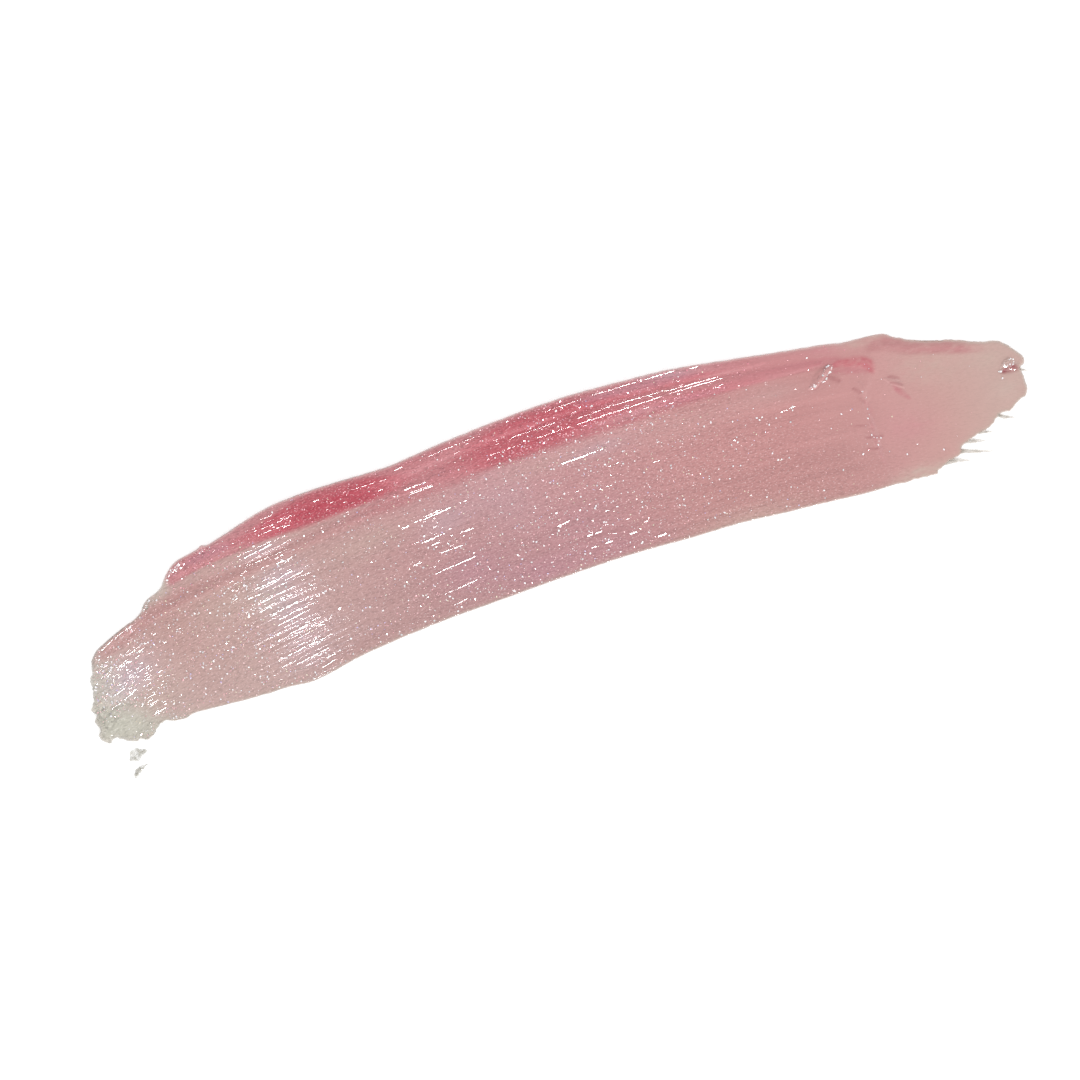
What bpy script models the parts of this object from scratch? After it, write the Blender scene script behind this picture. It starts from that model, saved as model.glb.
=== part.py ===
"""A lip gloss smear: one sweep of sheer, shimmering gloss, lying flat on a surface.

The applicator swings to the right on a wide arc. It lays three thin films end to end: a clear tip with
almost no pigment, the long sheer film, and a thinner tail that it lifts away from. The gloss that it
pushes aside gathers in beads, streaks and drops on those films. Hair-thin wisps and two loose crumbs
lie beside them on the surface.

Frame: +X along the stroke, +Y towards its thick edge, +Z up. The origin is on the underside, below the
middle of the whole footprint. Points and sizes below are in millimetres, measured from the middle of
the stroke, so the object's parent carries them all over by CENTRE.
"""

import math

import bpy

MM = 0.001

CENTRE = (0.434, -0.719)  # middle of the whole footprint, from the middle of the stroke

# Driving sizes
SHEER_THICK = 0.30
TAIL_THICK = 0.20
TIP_THICK = 0.24
WISP_THICK = 0.08
CRUMB_THICK = 0.12
FILM_GAP = 0.30  # between films that lie side by side
LIE_GAP = 0.05  # between a film and what lies on it
RIM_ROUND = 0.05  # rounding of a film's rims

# How finely the smooth outlines and the swept beads are divided
STEPS_PER_SPAN = 3
BEAD_STEPS_PER_SPAN = 4
PROFILE_SEGMENTS = 8
DOME_STEPS = 20
DOME_RINGS = 4

# The smear's edge, anticlockwise in stretches, each from one film's corner to the next
TIP_END_EDGE = [
    (-28.62, -0.45), (-28.90, -1.10), (-29.00, -1.75), (-29.15, -2.30), (-29.42, -2.75), (-29.25, -3.12),
    (-29.45, -3.50), (-29.28, -3.90), (-29.52, -4.30), (-29.25, -4.76), (-28.75, -4.92), (-28.05, -5.05),
    (-27.45, -5.22), (-26.95, -5.42), (-26.35, -5.46), (-25.75, -5.18), (-25.20, -4.95),
]
SHEER_LOWER_EDGE = [
    (-24.50, -4.95), (-23.00, -4.85), (-21.00, -5.04), (-19.00, -5.18), (-17.60, -5.20), (-16.40, -5.35),
    (-15.00, -5.19), (-13.00, -4.82), (-11.00, -4.58), (-8.00, -4.42), (-5.00, -4.36), (-2.00, -4.29),
    (2.00, -4.24), (5.00, -4.28), (8.00, -4.43), (11.00, -4.52), (14.00, -4.83), (17.00, -5.07), (20.00, -5.28),
]
TAIL_LOWER_EDGE = [
    (21.20, -5.42), (22.30, -5.48), (23.15, -5.54), (23.35, -5.34), (24.20, -5.12), (24.95, -4.95),
    (25.30, -4.50), (25.95, -4.15), (26.80, -3.97), (27.50, -3.72), (28.10, -3.32), (28.60, -3.34),
    (29.20, -2.99), (29.75, -2.80), (29.96, -2.35), (29.98, -1.60), (29.98, -1.12), (30.26, -0.88),
    (30.30, -0.50), (30.02, -0.05), (29.62, 0.48), (29.05, 0.92), (28.20, 1.12), (27.55, 1.38),
    (26.60, 1.80), (25.20, 2.20), (24.20, 2.62), (23.30, 3.12), (22.75, 3.48),
]
SHEER_UPPER_EDGE = [
    (21.80, 3.62), (20.30, 3.75), (19.00, 4.03), (16.00, 4.52), (13.00, 5.05), (10.00, 5.54), (7.00, 5.80),
    (3.00, 6.02), (-1.00, 5.94), (-5.00, 5.70), (-8.00, 5.45), (-11.00, 5.55), (-14.00, 5.57), (-16.00, 5.36),
    (-18.00, 4.87), (-19.60, 4.47), (-20.05, 4.56), (-20.50, 4.38), (-21.80, 4.12), (-22.65, 3.52),
    (-23.20, 2.87), (-24.30, 2.42), (-24.90, 1.78), (-26.00, 1.40), (-27.20, 0.95), (-28.10, 0.50),
    (-28.48, 0.08),
]

# Where the sheer film meets its neighbours, from the lower edge up
TIP_LINE = [(-25.00, -4.35), (-25.70, -3.60), (-26.60, -2.60), (-27.60, -1.55)]
LAP_LINE = [(20.55, -4.40), (20.60, -2.80), (20.65, -1.00), (21.00, 0.60), (21.70, 1.70), (22.05, 2.80)]

# Routes of the gloss that lies on the films: (x, y, half width) in millimetres
OUTER_BEAD = [
    (-22.2, 3.35, 0.28), (-20.2, 3.72, 0.42), (-17.0, 4.25, 0.72), (-14.0, 4.65, 0.80), (-11.0, 4.75, 0.72),
    (-8.0, 4.82, 0.52), (-5.0, 5.12, 0.46), (-2.0, 5.28, 0.46), (2.0, 5.42, 0.44), (6.0, 5.30, 0.40),
    (10.0, 5.00, 0.34), (13.0, 4.52, 0.30), (15.5, 4.12, 0.18),
]
INNER_BEAD = [
    (-8.5, 3.62, 0.20), (-5.0, 3.88, 0.45), (-2.0, 4.08, 0.60), (2.0, 4.20, 0.65), (6.0, 4.18, 0.60),
    (10.0, 3.98, 0.54), (13.0, 3.66, 0.45), (16.0, 3.30, 0.35), (18.3, 3.00, 0.20),
]
ROSE_STREAK = [
    (-24.3, 1.25, 0.20), (-22.5, 1.62, 0.36), (-20.0, 1.90, 0.40), (-17.0, 2.24, 0.40), (-14.0, 2.64, 0.40),
    (-11.5, 2.95, 0.34), (-9.5, 3.12, 0.18),
]
START_RIM = [(-28.0, 0.20, 0.12), (-27.2, 0.60, 0.20), (-26.0, 1.05, 0.22), (-25.0, 1.32, 0.12)]
FOLD_RIDGE = [(17.75, 1.78, 0.16), (18.15, 1.88, 0.22), (18.65, 2.22, 0.20), (19.15, 2.48, 0.18)]
LAP_RIDGE = [(19.80, 1.05, 0.12), (20.05, 0.20, 0.20), (20.10, -1.20, 0.16), (20.15, -2.60, 0.22), (20.20, -3.60, 0.12)]
DRAG_MARK = [(22.10, 0.78, 0.10), (22.50, 0.50, 0.22), (22.95, 0.18, 0.10)]
TAIL_STREAK = [(22.9, 2.72, 0.20), (24.2, 2.12, 0.34), (25.8, 1.62, 0.30), (27.4, 1.10, 0.24), (28.6, 0.78, 0.12)]
PIGMENT_POOL = [
    (19.55, 2.62), (19.80, 2.92), (20.50, 2.86), (21.15, 2.72), (21.50, 2.40), (21.36, 1.90), (20.90, 1.78),
    (20.30, 2.02), (19.75, 2.12),
]

# Drops: (x, y, length, width, turn in degrees)
PIGMENT_SPOT = (29.30, -0.85, 0.80, 0.66, 25)
EDGE_NUB = (-20.08, 4.34, 0.26, 0.20, 40)

# Slivers that the lifting applicator leaves beside the tail: (from, to, half width)
WISPS = [
    ((24.35, -5.32), (25.45, -5.50), 0.08), ((25.30, -4.88), (27.05, -5.40), 0.09),
    ((27.95, -3.66), (28.75, -3.96), 0.07), ((26.62, -4.24), (27.22, -4.34), 0.06),
    ((25.80, -4.42), (26.55, -4.66), 0.06), ((30.18, -1.26), (30.38, -1.42), 0.04),
]

# Crumbs below the clear tip
CRUMBS = [
    [(-28.20, -6.30), (-27.98, -5.80), (-27.60, -5.92), (-27.12, -6.02), (-27.30, -6.34), (-27.85, -6.52)],
    [
        (-28.30, -7.32), (-28.12, -6.98), (-27.60, -6.86), (-27.12, -6.82), (-27.50, -7.02), (-27.95, -7.20),
        (-28.12, -7.46),
    ],
]

COLOURS = {  # base colour and roughness of each finish
    "clear gloss": ((0.60, 0.56, 0.48), 0.10),
    "sheer rose gloss": ((0.58, 0.34, 0.33), 0.12),
    "tail gloss": ((0.60, 0.34, 0.31), 0.30),
    "deep rose gloss": ((0.55, 0.15, 0.18), 0.10),
    "streak gloss": ((0.55, 0.25, 0.25), 0.12),
}


def clear_scene():
    """Removes what the startup file holds."""
    for obj in list(bpy.data.objects):
        bpy.data.objects.remove(obj)


def gloss(name):
    """The named finish as a wet Principled material."""
    found = bpy.data.materials.get(name)
    if found:
        return found
    colour, roughness = COLOURS[name]
    material = bpy.data.materials.new(name)
    material.use_nodes = True
    shader = material.node_tree.nodes["Principled BSDF"]
    shader.inputs["Base Color"].default_value = (*colour, 1.0)
    shader.inputs["Roughness"].default_value = roughness
    shader.inputs["Metallic"].default_value = 0.0
    return material


def spline_value(a, b, c, d, t):
    """Catmull-Rom value between b and c."""
    return 0.5 * (2 * b + (c - a) * t + (2 * a - 5 * b + 4 * c - d) * t**2 + (3 * b - a - 3 * c + d) * t**3)


def smooth_line(points, steps, closed):
    """Points on a smooth line through the given points, with steps divisions in each span."""
    count = len(points)
    spans = count if closed else count - 1

    def at(index):
        return points[index % count] if closed else points[min(max(index, 0), count - 1)]

    line = []
    for span in range(spans):
        around = [at(span + k) for k in (-1, 0, 1, 2)]
        for step in range(steps):
            line.append(tuple(spline_value(*values, step / steps) for values in zip(*around)))
    if not closed:
        line.append(tuple(points[-1]))
    return line


def moved(points, dx, dy=0.0):
    """The points moved sideways, in millimetres."""
    return [(x + dx, y + dy) for x, y in points]


def place(obj, collection, parent, material):
    """Links an object into the smear, on its frame and with its finish."""
    collection.objects.link(obj)
    obj.parent = parent
    obj.data.materials.append(gloss(material))
    return obj


def new_curve(name, dimensions):
    """An empty curve of straight spans, capped at its ends."""
    curve = bpy.data.curves.new(name, "CURVE")
    curve.dimensions = dimensions
    curve.resolution_u = 1
    return curve


def add_spline(curve, points, closed):
    """Adds one spline. Points are (x, y) or (x, y, radius), in millimetres."""
    spline = curve.splines.new("POLY")
    spline.points.add(len(points) - 1)
    for target, point in zip(spline.points, points):
        target.co = (point[0] * MM, point[1] * MM, 0.0, 1.0)
        if len(point) > 2:
            target.radius = point[2]
    spline.use_cyclic_u = closed
    return spline


def film(name, outline, thickness, lies_at, smear, frame, material, steps=STEPS_PER_SPAN):
    """A flat film: the smooth closed outline, thickened upwards from lies_at, with rounded rims."""
    curve = new_curve(name, "2D")
    curve.fill_mode = "BOTH"
    curve.extrude = thickness / 2 * MM
    add_spline(curve, smooth_line(outline, steps, True), True)
    obj = place(bpy.data.objects.new(name, curve), smear, frame, material)
    obj.location.z = (lies_at + thickness / 2) * MM
    weld = obj.modifiers.new("weld caps", "WELD")
    weld.merge_threshold = 0.001 * MM
    rims = obj.modifiers.new("round rims", "BEVEL")
    rims.width = min(RIM_ROUND, thickness / 4) * MM
    rims.segments = 1
    rims.limit_method = "ANGLE"
    rims.angle_limit = math.radians(60)
    return obj


def bead_profile(height, helpers):
    """The cross-section of a bead of half width 1: flat below, domed above, as a closed helper curve."""
    curve = new_curve(f"bead profile {height:g}", "2D")
    arc = [math.pi * k / PROFILE_SEGMENTS for k in range(PROFILE_SEGMENTS, -1, -1)]
    add_spline(curve, [(math.cos(a), height * math.sin(a)) for a in arc], True)
    obj = bpy.data.objects.new(curve.name, curve)
    helpers.objects.link(obj)
    obj.hide_render = True
    obj.display_type = "WIRE"
    return obj


def bead(name, route, height, lies_at, smear, helpers, frame, material):
    """A domed bead swept along its route. height is for each millimetre of half width."""
    curve = new_curve(name, "3D")
    curve.twist_mode = "Z_UP"
    curve.bevel_mode = "OBJECT"
    curve.bevel_object = bead_profile(height, helpers)
    curve.use_fill_caps = True
    add_spline(curve, smooth_line(route, BEAD_STEPS_PER_SPAN, False), False)
    obj = place(bpy.data.objects.new(name, curve), smear, frame, material)
    obj.location.z = lies_at * MM
    return obj


def drop(name, spec, height, lies_at, smear, frame, material):
    """A turned dome, stretched along its length and turned in plan."""
    x, y, length, width, turn = spec
    mesh = bpy.data.meshes.new(name)
    rings = [math.pi / 2 * k / DOME_RINGS for k in range(DOME_RINGS + 1)]
    profile = [(0.0, 0.0, height * MM)]
    profile += [(0.5 * MM * math.sin(a), 0.0, height * MM * math.cos(a)) for a in rings[1:]]
    profile.append((0.0, 0.0, 0.0))
    profile[-2] = (0.5 * MM, 0.0, 0.0)
    mesh.from_pydata(profile, [(k, k + 1) for k in range(len(profile) - 1)], [])
    obj = place(bpy.data.objects.new(name, mesh), smear, frame, material)
    obj.location = (x * MM, y * MM, lies_at * MM)
    obj.rotation_euler.z = math.radians(turn)
    obj.scale = (length, width, 1.0)
    turned = obj.modifiers.new("turn", "SCREW")
    turned.steps = turned.render_steps = DOME_STEPS
    turned.use_merge_vertices = True
    turned.merge_threshold = 0.001 * MM
    return obj


def sliver(start, end, half_width):
    """Outline of a wisp: blunt where the gloss left the film, and drawn out to a point."""
    (x0, y0), (x1, y1) = start, end
    length = math.hypot(x1 - x0, y1 - y0)
    ux, uy = (x1 - x0) / length, (y1 - y0) / length
    shape = [(0.0, 0.6), (0.25, 1.0), (0.6, 0.55), (1.0, 0.15)]
    lower = [(x0 + ux * length * t + uy * half_width * w, y0 + uy * length * t - ux * half_width * w) for t, w in shape]
    upper = [(x0 + ux * length * t - uy * half_width * w, y0 + uy * length * t + ux * half_width * w) for t, w in shape]
    return lower + upper[::-1]


def build_films(smear, frame):
    """The three films that lie on the surface, end to end."""
    half = FILM_GAP / 2
    tip = TIP_END_EDGE + moved(TIP_LINE, -half, -half / 2)
    sheer = moved(TIP_LINE, half, half / 2)[::-1] + SHEER_LOWER_EDGE + moved(LAP_LINE, -half) + SHEER_UPPER_EDGE
    tail = TAIL_LOWER_EDGE + moved(LAP_LINE, half)[::-1]
    film("clear_tip", tip, TIP_THICK, 0.0, smear, frame, "clear gloss")
    film("sheer_film", sheer, SHEER_THICK, 0.0, smear, frame, "sheer rose gloss")
    film("tail_film", tail, TAIL_THICK, 0.0, smear, frame, "tail gloss")


def build_beads(smear, helpers, frame):
    """The thicker gloss that was pushed aside, lying on the films."""
    on_sheer = SHEER_THICK + LIE_GAP
    on_tail = TAIL_THICK + LIE_GAP
    beads = [
        ("outer_bead", OUTER_BEAD, 0.70, on_sheer, "deep rose gloss"),
        ("inner_bead", INNER_BEAD, 0.70, on_sheer, "deep rose gloss"),
        ("rose_streak", ROSE_STREAK, 0.45, on_sheer, "streak gloss"),
        ("start_rim", START_RIM, 0.90, on_sheer, "streak gloss"),
        ("fold_ridge", FOLD_RIDGE, 1.10, on_sheer, "streak gloss"),
        ("lap_ridge", LAP_RIDGE, 0.60, on_sheer, "streak gloss"),
        ("drag_mark", DRAG_MARK, 0.60, on_tail, "streak gloss"),
        ("tail_streak", TAIL_STREAK, 0.40, on_tail, "streak gloss"),
    ]
    for name, route, height, lies_at, material in beads:
        bead(name, route, height, lies_at, smear, helpers, frame, material)
    film("pigment_pool", PIGMENT_POOL, 0.16, on_sheer, smear, frame, "deep rose gloss")
    drop("pigment_spot", PIGMENT_SPOT, 0.26, on_tail, smear, frame, "deep rose gloss")
    drop("edge_nub", EDGE_NUB, 0.16, on_sheer, smear, frame, "streak gloss")


def build_loose_pieces(smear, frame):
    """The wisps and crumbs that lie on the surface, clear of the films."""
    for number, (start, end, half_width) in enumerate(WISPS, 1):
        outline = sliver(start, end, half_width)
        film(f"wisp_{number}", outline, WISP_THICK, 0.0, smear, frame, "tail gloss", 2)
    for number, outline in enumerate(CRUMBS, 1):
        film(f"crumb_{number}", outline, CRUMB_THICK, 0.0, smear, frame, "clear gloss")


def main():
    clear_scene()
    smear = bpy.data.collections.new("lip gloss smear")
    helpers = bpy.data.collections.new("helpers")
    for collection in (smear, helpers):
        bpy.context.scene.collection.children.link(collection)
    frame = bpy.data.objects.new("smear frame", None)
    frame.location = (-CENTRE[0] * MM, -CENTRE[1] * MM, 0.0)
    smear.objects.link(frame)
    build_films(smear, frame)
    build_beads(smear, helpers, frame)
    build_loose_pieces(smear, frame)


main()
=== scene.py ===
"""The looks of a lip gloss smear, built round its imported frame.

The CAD nodes give the smear's deposits their names, places and sizes. Here each one is replaced by a
finely modelled surface of the same outline: the films are combed by the applicator's flocked tip and
thin out to a wet rim, the beads are domed and threaded, and thousands of glitter flakes lie in them.

All the surfaces are read from one relief and one paint scheme, so neighbouring pieces meet without a
seam. Both are written in the stroke's own millimetres: x along the stroke and y across it, with s and t
for the same two along and across the arc that the applicator swung on.
"""

import logging
import math
from dataclasses import dataclass, field
from enum import Enum
from functools import cached_property

import bpy
import numpy as np
from mathutils.kdtree import KDTree
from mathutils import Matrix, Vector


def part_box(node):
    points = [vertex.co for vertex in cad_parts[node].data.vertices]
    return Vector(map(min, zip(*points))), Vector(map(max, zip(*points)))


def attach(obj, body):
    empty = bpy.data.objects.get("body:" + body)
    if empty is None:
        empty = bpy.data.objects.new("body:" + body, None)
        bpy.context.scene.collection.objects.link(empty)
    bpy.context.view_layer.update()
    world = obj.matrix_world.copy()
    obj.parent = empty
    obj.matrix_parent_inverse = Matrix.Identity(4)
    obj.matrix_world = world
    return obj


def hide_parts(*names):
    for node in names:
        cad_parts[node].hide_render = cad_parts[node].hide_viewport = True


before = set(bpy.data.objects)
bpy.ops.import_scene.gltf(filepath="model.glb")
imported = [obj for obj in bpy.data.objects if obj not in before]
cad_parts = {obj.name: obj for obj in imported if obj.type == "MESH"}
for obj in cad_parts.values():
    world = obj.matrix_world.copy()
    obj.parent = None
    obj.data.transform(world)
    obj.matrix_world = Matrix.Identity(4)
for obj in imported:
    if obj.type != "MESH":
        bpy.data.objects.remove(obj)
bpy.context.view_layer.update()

log = logging.getLogger("smear")

MM = 0.001

# Two extents of the CAD films in the stroke's own millimetres tie that frame to the object's
START_X = -29.52
CREST_Y = 6.021
SHIFT_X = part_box("clear_tip")[0].x / MM - START_X
SHIFT_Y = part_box("sheer_film")[1].y / MM - CREST_Y

# All in mm
SEAM_LIFT = 0.001  # how far the upper of two surfaces that share a stretch clears the lower
SEAM_DIP = 0.014  # how deep a surface dives under its neighbour past their seam
SEAM_RUN = 0.12  # over what distance it dives
THINNEST_FILM = 0.004
THINNEST_SCRAP = 0.003

Colour = tuple[float, float, float]
Pair = tuple[np.ndarray, np.ndarray]
Socket = bpy.types.NodeSocket


def smoothstep(low: float, high: float, value: np.ndarray) -> np.ndarray:
    """Eases from 0 at low to 1 at high."""
    share = np.clip((value - low) / (high - low), 0.0, 1.0)
    return share * share * (3.0 - 2.0 * share)


def rounded(share: np.ndarray) -> np.ndarray:
    """Rises from 0 to 1 as a quarter circle does, and stays there."""
    return np.sqrt(1.0 - (1.0 - np.clip(share, 0.0, 1.0)) ** 2)


def linear(colour: Colour) -> np.ndarray:
    """A screen colour, each channel 0 to 255, as linear light.

    Args:
        colour: red, green and blue.

    Returns:
        The three channels from 0 to 1.
    """
    share = np.asarray(colour, float) / 255.0
    return np.where(share <= 0.04045, share / 12.92, ((share + 0.055) / 1.055) ** 2.4)


@dataclass(frozen=True)
class Sweep:
    """The wide arc that the applicator swung on."""

    radius: float = 139.0
    crest: float = 0.87

    def arc(self, x: np.ndarray, y: np.ndarray) -> Pair:
        """Where a point lies along and across the arc.

        Args:
            x: along the stroke, in mm.
            y: across the stroke, in mm.

        Returns:
            s along the arc and t outwards from it, in mm.
        """
        rise = y - self.crest + self.radius
        return self.radius * np.arctan2(x, rise), np.hypot(x, rise) - self.radius

    def plan(self, s: np.ndarray, t: np.ndarray) -> Pair:
        """The x and y, in mm, of each point s along the arc and t outwards from it."""
        turn, reach = s / self.radius, self.radius + t
        return reach * np.sin(turn), reach * np.cos(turn) + self.crest - self.radius


SWEEP = Sweep()


@dataclass(frozen=True)
class Ripple:
    """Smooth random waves, about one along by one across in size, and one height high either way."""

    seed: int
    along: float = 1.0
    across: float = 1.0
    height: float = 1.0
    size: int = 97  # how many waves pass before the pattern repeats

    @cached_property
    def table(self) -> np.ndarray:
        """The random heights at the lattice points."""
        return np.random.default_rng(self.seed).uniform(-1.0, 1.0, (self.size, self.size))

    def at(self, x: np.ndarray, y: np.ndarray | float = 0.0) -> np.ndarray:
        """The wave height at each point."""
        u, v = x / self.along, y / self.across
        column, row = np.floor(u).astype(int), np.floor(v).astype(int)
        right, up = (share**3 * (share * (share * 6 - 15) + 10) for share in (u - column, v - row))
        corners = [
            self.table[(column + i) % self.size, (row + j) % self.size] for i in (0, 1) for j in (0, 1)
        ]
        low = corners[0] + (corners[2] - corners[0]) * right
        high = corners[1] + (corners[3] - corners[1]) * right
        return self.height * (low + (high - low) * up)


def layered(ripples: tuple[Ripple, ...], x: np.ndarray, y: np.ndarray) -> np.ndarray:
    """The sum of several waves at each point."""
    return sum(ripple.at(x, y) for ripple in ripples)


def smooth_line(points: tuple, steps: int) -> np.ndarray:
    """A Catmull-Rom curve through given points.

    Args:
        points: the points, each with the same number of values.
        steps: divisions in each span.

    Returns:
        One row for each point of the line.
    """
    knots = np.asarray(points, float)
    padded = np.vstack([knots[:1], knots, knots[-1:]])
    a, b, c, d = (padded[first : first + len(knots) - 1, None, :] for first in range(4))
    share = (np.arange(steps) / steps)[None, :, None]
    bend = 2 * a - 5 * b + 4 * c - d
    twist = 3 * b - a - 3 * c + d
    line = 0.5 * (2 * b + (c - a) * share + bend * share**2 + twist * share**3)
    return np.vstack([line.reshape(-1, knots.shape[1]), knots[-1:]])


def lengths(line: np.ndarray) -> np.ndarray:
    """How far along the line each of its points lies."""
    return np.concatenate([[0.0], np.cumsum(np.hypot(*np.diff(line[:, :2], axis=0).T))])


def headings(line: np.ndarray) -> np.ndarray:
    """Which way the line runs at each of its points, as unit vectors."""
    heading = np.gradient(line[:, :2], axis=0)
    return heading / np.hypot(*heading.T)[:, None]


def even_line(line: np.ndarray, count: int) -> np.ndarray:
    """The line divided into count points an equal distance apart."""
    length = lengths(line)
    wanted = np.linspace(0.0, length[-1], count)
    return np.stack([np.interp(wanted, length, column) for column in line.T], axis=1)


@dataclass(frozen=True)
class Edge:
    """A stretch of a film's edge, ragged by a few hundredths of a millimetre or more."""

    points: tuple
    ragged: float
    grain: float  # the length of its waves
    seed: int
    true_end: float = 0.3  # over what distance from each end it becomes ragged

    def line(self, spacing: float = 0.05) -> np.ndarray:
        """The edge's points, evenly spaced and ragged, but true at both ends."""
        smooth = smooth_line(self.points, 12)
        length = lengths(smooth)[-1]
        line = even_line(smooth, max(8, int(length / spacing)))
        place = np.linspace(0.0, length, len(line))
        coarse, fine = Ripple(self.seed, self.grain), Ripple(self.seed, self.grain / 2.3, height=0.5)
        wave = coarse.at(place) + fine.at(place, 9.5)
        fade = smoothstep(0.0, self.true_end, place) * smoothstep(0.0, self.true_end, length - place)
        heading = headings(line)
        offset = (self.ragged * wave * fade)[:, None]
        return line + offset * np.stack([-heading[:, 1], heading[:, 0]], axis=1)


# The smear's edge, each stretch running with x. The films share it, and so does the rim of all of them.
TIP_LOWER = Edge((
    (-29.52, -4.30), (-29.30, -4.72), (-28.95, -5.00), (-28.70, -4.74), (-28.05, -5.06), (-27.50, -5.38),
    (-27.25, -5.27), (-26.90, -5.44), (-26.55, -5.43), (-26.22, -5.14), (-25.90, -4.88), (-25.35, -4.77),
    (-24.85, -4.93),
), ragged=0.05, grain=0.22, seed=2)
TIP_UPPER = Edge((
    (-29.52, -4.30), (-29.28, -3.90), (-29.45, -3.50), (-29.25, -3.12), (-29.42, -2.75), (-29.15, -2.30),
    (-29.00, -1.75), (-28.90, -1.10), (-28.62, -0.45), (-28.48, 0.08),
), ragged=0.05, grain=0.20, seed=3)
SHEER_LOWER = Edge((
    (-24.85, -4.93), (-24.20, -5.00), (-23.40, -4.87), (-21.00, -5.06), (-19.00, -5.18), (-17.60, -5.20),
    (-16.40, -5.35), (-15.00, -5.19), (-13.00, -4.84), (-11.00, -4.63), (-8.00, -4.43), (-5.00, -4.36),
    (-2.00, -4.29), (2.00, -4.24), (5.00, -4.29), (8.00, -4.46), (11.00, -4.57), (14.00, -4.86),
    (17.00, -5.12), (19.00, -5.31), (20.60, -5.35),
), ragged=0.012, grain=0.5, seed=4)
SHEER_UPPER = Edge((
    (-28.48, 0.08), (-28.10, 0.50), (-27.20, 0.95), (-26.00, 1.40), (-24.90, 1.78), (-24.30, 2.42),
    (-23.20, 2.87), (-22.65, 3.52), (-21.80, 4.12), (-20.50, 4.38), (-20.05, 4.56), (-19.60, 4.47),
    (-18.00, 4.87), (-16.00, 5.36), (-14.00, 5.57), (-11.00, 5.55), (-8.00, 5.45), (-5.00, 5.70),
    (-1.00, 5.94), (3.00, 6.02), (7.00, 5.80), (10.00, 5.54), (13.00, 5.05), (16.00, 4.52), (19.00, 4.03),
    (20.30, 3.75), (21.80, 3.62),
), ragged=0.014, grain=0.4, seed=5)
TAIL_LOWER = Edge((
    (20.60, -5.35), (21.20, -5.42), (22.30, -5.48), (23.15, -5.54), (23.28, -5.40), (23.45, -5.33),
    (24.10, -5.05), (24.75, -4.92), (25.00, -4.72), (25.12, -4.45), (25.95, -4.15), (26.80, -3.97),
    (27.30, -3.80), (27.60, -3.52), (28.10, -3.32), (28.60, -3.34), (29.20, -2.99), (29.75, -2.80),
), ragged=0.035, grain=0.18, seed=6)
TAIL_END = Edge((
    (29.75, -2.80), (29.96, -2.35), (29.98, -1.60), (29.98, -1.12), (30.26, -0.88), (30.30, -0.50),
    (30.02, -0.05), (29.62, 0.48),
), ragged=0.03, grain=0.2, seed=7)
TAIL_UPPER = Edge((
    (21.80, 3.62), (22.75, 3.48), (23.30, 3.12), (24.20, 2.62), (25.20, 2.20), (26.60, 1.80),
    (27.55, 1.38), (28.20, 1.12), (29.05, 0.92), (29.62, 0.48),
), ragged=0.02, grain=0.3, seed=8)
OUTER_EDGES = (TIP_LOWER, TIP_UPPER, SHEER_LOWER, SHEER_UPPER, TAIL_LOWER, TAIL_END, TAIL_UPPER)

# Where the sheer film meets its neighbours, from the lower edge up
TIP_SEAM = (
    (-24.85, -4.93), (-25.30, -4.05), (-26.10, -3.10), (-27.10, -2.10), (-28.00, -1.00), (-28.48, 0.08),
)
LAP_SEAM = (
    (20.60, -5.35), (20.60, -4.20), (20.55, -2.80), (20.65, -1.00), (21.00, 0.60), (21.60, 1.90),
    (21.80, 3.62),
)


@dataclass(frozen=True)
class Route:
    """A smooth line across the smear with a half width at each of its points, all in mm."""

    points: tuple

    @cached_property
    def line(self) -> np.ndarray:
        """The line's points: x, y and half width."""
        return smooth_line(self.points, 6)

    def nearest(self, x: np.ndarray, y: np.ndarray, within: float) -> Pair:
        """How far each point lies from the line.

        Args:
            x: along the stroke.
            y: across the stroke.
            within: half widths past which the distance no longer matters.

        Returns:
            The distance in half widths, without end where it no longer matters, and the share of the way
            along the line.
        """
        line = self.line
        reach = np.full(x.shape, np.inf)
        place = np.zeros(x.shape)
        margin = within * line[:, 2].max()
        low, high = line[:, :2].min(0) - margin, line[:, :2].max(0) + margin
        near = (x > low[0]) & (x < high[0]) & (y > low[1]) & (y < high[1])
        if not near.any():
            return reach, place
        px, py = x[near], y[near]
        best = np.full(px.shape, np.inf)
        at = np.zeros(px.shape)
        for number, (a, b) in enumerate(zip(line[:-1], line[1:])):
            run = b[:2] - a[:2]
            share = np.clip(((px - a[0]) * run[0] + (py - a[1]) * run[1]) / max(run @ run, 1e-12), 0.0, 1.0)
            gap = np.hypot(px - a[0] - share * run[0], py - a[1] - share * run[1])
            half = np.maximum(a[2] + (b[2] - a[2]) * share, 1e-3)
            closer = gap / half < best
            best = np.where(closer, gap / half, best)
            at = np.where(closer, (number + share) / (len(line) - 1), at)
        reach[near] = best
        place[near] = at
        return reach, place


LUMPS = (Ripple(11, 0.42, 0.22), Ripple(12, 0.2, 0.12, 0.5))


@dataclass(frozen=True)
class Ridge(Route):
    """Gloss that stands proud of the film along a route, highest where the route is widest."""

    height: float
    edge: float = 1.5  # 1 meets the film at an angle, 2 runs out into it
    lumpy: float = 0.08

    def rise(self, x: np.ndarray, y: np.ndarray) -> np.ndarray:
        """How far it stands above the film at each point, in mm."""
        reach, place = self.nearest(x, y, 1.2)
        half = self.line[:, 2]
        widths = np.interp(place, np.linspace(0.0, 1.0, len(half)), half) / half.max()
        lumps = 1.0 + self.lumpy * layered(LUMPS, x, y)
        return self.height * widths * np.clip(1.0 - reach**2, 0.0, 1.0) ** self.edge * lumps


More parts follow.
